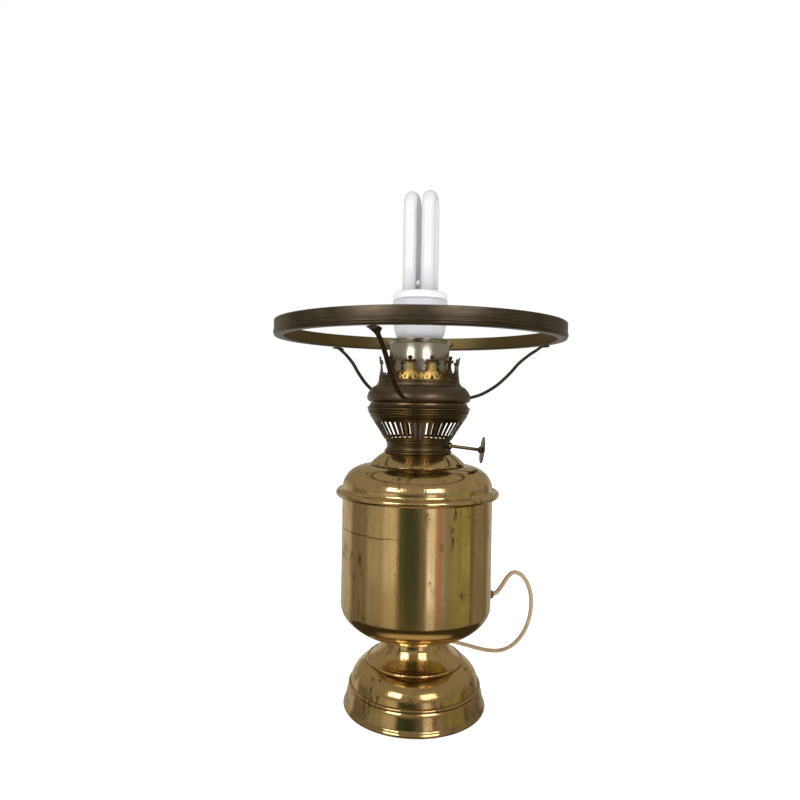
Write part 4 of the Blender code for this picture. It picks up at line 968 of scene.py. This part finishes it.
def modelWinder():
    shape = winderShape
    for stretch, sides, name, node in (("spindle", 32, "winderSpindle", "wick_spindle"),
                                       ("hub", 40, "winderHub", "wick_hub"),
                                       ("bush", 40, "winderBush", "spindle_bush")):
        piece = turnOnLathe(scaled(shape[stretch]), sides)
        piece.data.transform(alongWinder())
        settle(piece, name, node, agedBrass)
    places = 2 * shape["teeth"]
    disc = turnOnLathe(scaled([(r, z + shape["discAt"]) for r, z in shape["face"]]), places)
    bpy.ops.object.mode_set(mode="EDIT")
    bpy.ops.mesh.select_all(action="DESELECT")
    bpy.ops.object.mode_set(mode="OBJECT")
    for vertex in disc.data.vertices:
        turn = round(math.atan2(vertex.co.y, vertex.co.x) / math.tau * places)
        vertex.select = turn % 2 == 0 and vertex.co.xy.length > shape["notchFrom"] * mm
    bpy.ops.object.mode_set(mode="EDIT")
    bpy.ops.transform.resize(value=(shape["notch"], shape["notch"], 1),
                             center_override=(0, 0, shape["discAt"] * mm))
    bpy.ops.object.mode_set(mode="OBJECT")
    disc.data.transform(alongWinder())
    settle(disc, "knurledDisc", "wick_disc", bronze, angle=25)


modelWinder()
report("winder turned")


# Flex fittings: bush in the font, plug and pins

fittingShape = {"bush": [(2.2, 56.6), (3.9, 56.6), (3.9, 61.5), (4.6, 61.5), (4.6, 63.0), (4.3, 63.6),
                         (3.9, 64.6), (3.7, 65.2), (3.5, 66.2), (3.1, 66.8), (2.4, 66.9), (2.2, 66.6)],
                "pin": [(0.3, 0.0), (2.0, 0.0), (2.0, 17.6)], "pinRound": (1.0, 18.0, 1.0),
                "pinEnd": (0.3, 19.0)}


def modelFittings():
    bush = turnOnLathe(scaled(fittingShape["bush"]), 48)
    bush.data.transform(Matrix.Translation((0, 0, flexHole["height"] * mm))
                        @ Matrix.Rotation(math.radians(flexHole["angle"]), 4, "Z")
                        @ Matrix.Rotation(math.pi / 2, 4, "Y"))
    settle(bush, "flexBush", "cord_grommet", brownPlastic)
    pin = fittingShape["pin"] + arcRound(*fittingShape["pinRound"], 0, 90, 6) + [fittingShape["pinEnd"]]
    for node, name in (("plug_pin_left", "leftPin"), ("plug_pin_right", "rightPin")):
        low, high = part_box(node)
        piece = turnOnLathe(scaled(pin), 32)
        centre = (Vector(low) + Vector(high)) / 2
        piece.data.transform(Matrix.Translation((centre.x, low[1], centre.z))
                             @ Matrix.Rotation(-math.pi / 2, 4, "X"))
        settle(piece, name, node, nickel)
    refine("plug_body", "plugBody", 2, flexSkin)


modelFittings()
layFlex()
report("fittings made and flex laid")


# Floor, world and lights

windows = {"left": {"azimuth": -37, "width": 24, "low": 16, "high": 36, "power": 1.1},
           "right": {"azimuth": 26, "width": 26, "low": 16, "high": 36, "power": 1.1}}
windowDistance = 1.6
paneGap = 2
aimHeight = 0.2
softLights = {"overhead": {"place": (0.0, 0.1, 1.7), "size": (1.8, 1.8), "power": 6},
              "behind": {"place": (0.5, 1.6, 0.9), "size": (1.4, 1.4), "power": 5}}
# Bands of tone round the lamp, by angle; only glossy surfaces see them
room = {"upper": (0.31, 0.285, 0.235), "low": (0.05, 0.04, 0.02), "table": (0.55, 0.45, 0.30),
        "under": (0.16, 0.14, 0.08), "strength": 1.0, "fill": 0.74,
        "bands": [(-180, (0.72, 0.70, 0.66)), (-120, (0.64, 0.60, 0.54)), (-112, (0.25, 0.22, 0.18)),
                  (-84, (0.27, 0.24, 0.20)), (-78, (0.48, 0.46, 0.40)), (-54, (0.46, 0.44, 0.38)),
                  (-48, (0.82, 0.78, 0.68)), (-32, (0.76, 0.70, 0.58)), (-26, (0.10, 0.12, 0.08)),
                  (-8, (0.06, 0.08, 0.05)), (2, (0.10, 0.12, 0.09)), (6, (0.24, 0.22, 0.20)),
                  (12, (0.26, 0.22, 0.20)), (15, (1.10, 1.15, 1.20)), (25, (1.20, 1.25, 1.30)),
                  (28, (0.62, 0.32, 0.28)), (34, (0.58, 0.30, 0.26)), (37, (0.46, 0.45, 0.45)),
                  (46, (0.36, 0.35, 0.32)), (50, (0.36, 0.37, 0.20)), (84, (0.43, 0.44, 0.22)),
                  (88, (0.10, 0.09, 0.05)), (92, (0.30, 0.26, 0.21)), (116, (0.33, 0.29, 0.24)),
                  (124, (0.22, 0.19, 0.14)), (142, (0.55, 0.50, 0.44)), (180, (0.72, 0.70, 0.66))]}


def addFloor():
    deselect()
    bpy.ops.mesh.primitive_plane_add(size=14, location=(0, 0, 0))
    floor = bpy.context.object
    floor.name = "floor"
    floor.visible_glossy = False
    f = Finish("paleFloor")
    f.bump(f.noise(4, 3), 0.01, 0.001)
    paint = f.set(colour=(0.93, 0.93, 0.93), roughness=0.8, lightColour=(1, 1, 1), light=0.62)
    floor.data.materials.append(paint)


def addAreaLight(name, place, size, power):
    deselect()
    bpy.ops.object.light_add(type="AREA", location=place)
    light = bpy.context.object
    light.name = name
    light.data.shape = "RECTANGLE"
    light.data.size, light.data.size_y = size
    light.data.energy = power
    aim = Vector((0, 0, aimHeight)) - Vector(place)
    light.rotation_euler = aim.to_track_quat("-Z", "Y").to_euler()
    light.visible_camera = False


# Each window is four panes, set round the lamp by angle
def addWindows():
    for name, window in windows.items():
        wide = window["width"] / 2
        tall = (window["high"] - window["low"]) / 2
        size = [windowDistance * math.radians(reach - paneGap) for reach in (wide, tall)]
        for column in range(2):
            for row in range(2):
                angle = math.radians(window["azimuth"] + (column - 0.5) * wide - 90)
                rise = math.radians(window["low"] + (row + 0.5) * tall)
                level = windowDistance * math.cos(rise)
                place = (level * math.cos(angle), level * math.sin(angle),
                         aimHeight + windowDistance * math.sin(rise))
                addAreaLight("%sPane%d%d" % (name, column, row), place, size, window["power"])


class Room(Finish):
    def __init__(self):
        world = bpy.data.worlds.new("studio")
        bpy.context.scene.world = world
        world.use_nodes = True
        self.tree = world.node_tree
        self.tree.nodes.clear()
        self.place = self.add("TexCoord", {}, {}, "Generated")


def paintRoom():
    f = Room()
    rise = f.height()
    turn = f.add("Math", {"operation": "ARCTAN2"}, [f.axis("X"), 0 - f.axis("Y")]) * (1 / math.tau) + 0.5
    bands = f.ramp(turn, *[((angle + 180) / 360, shade) for angle, shade in room["bands"]])
    along = f.add("CombineXYZ", {}, [turn * 34, 0.0, rise * 0.6])
    creases = f.ramp(f.noise(1.0, 3, 0.7, along), (0.34, 0.25), (0.42, 0.85), (0.50, 0.70), (0.60, 1.0),
                     (0.66, 0.6))
    bands = f.mix(1.0, bands, creases, "MULTIPLY")
    bands = f.mix(f.ramp(rise * -1, (0.27, 0.0), (0.40, 0.45)), bands, room["under"])
    upper = f.ramp(rise, (0.06, 0.0), (0.16, 1.0))
    middle = f.ramp(rise * -1, (0.52, 0.0), (0.58, 1.0))
    lowest = f.ramp(rise * -1, (0.86, 0.0), (0.94, 1.0))
    painted = f.mix(upper, bands, room["upper"])
    painted = f.mix(middle, painted, room["low"])
    painted = f.mix(lowest, painted, room["table"])
    path = f.add("LightPath", {}, {}, "Is Glossy Ray")
    seen = f.add("LightPath", {}, {}, "Is Camera Ray")
    shade = f.mix(path, (room["fill"],) * 3, painted)
    shade = f.mix(seen, shade, (1, 1, 1))
    light = f.add("Background", {}, {"Color": shade, "Strength": room["strength"]})
    f.add("OutputWorld", {}, {"Surface": light}, None)


addFloor()
addWindows()
for lightName, made in softLights.items():
    addAreaLight(lightName, made["place"], made["size"], made["power"])
    bpy.data.objects[lightName].visible_glossy = False
paintRoom()
bpy.context.scene.view_settings.view_transform = "Standard"
report("floor and lights placed")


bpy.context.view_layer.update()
report("sizes written")
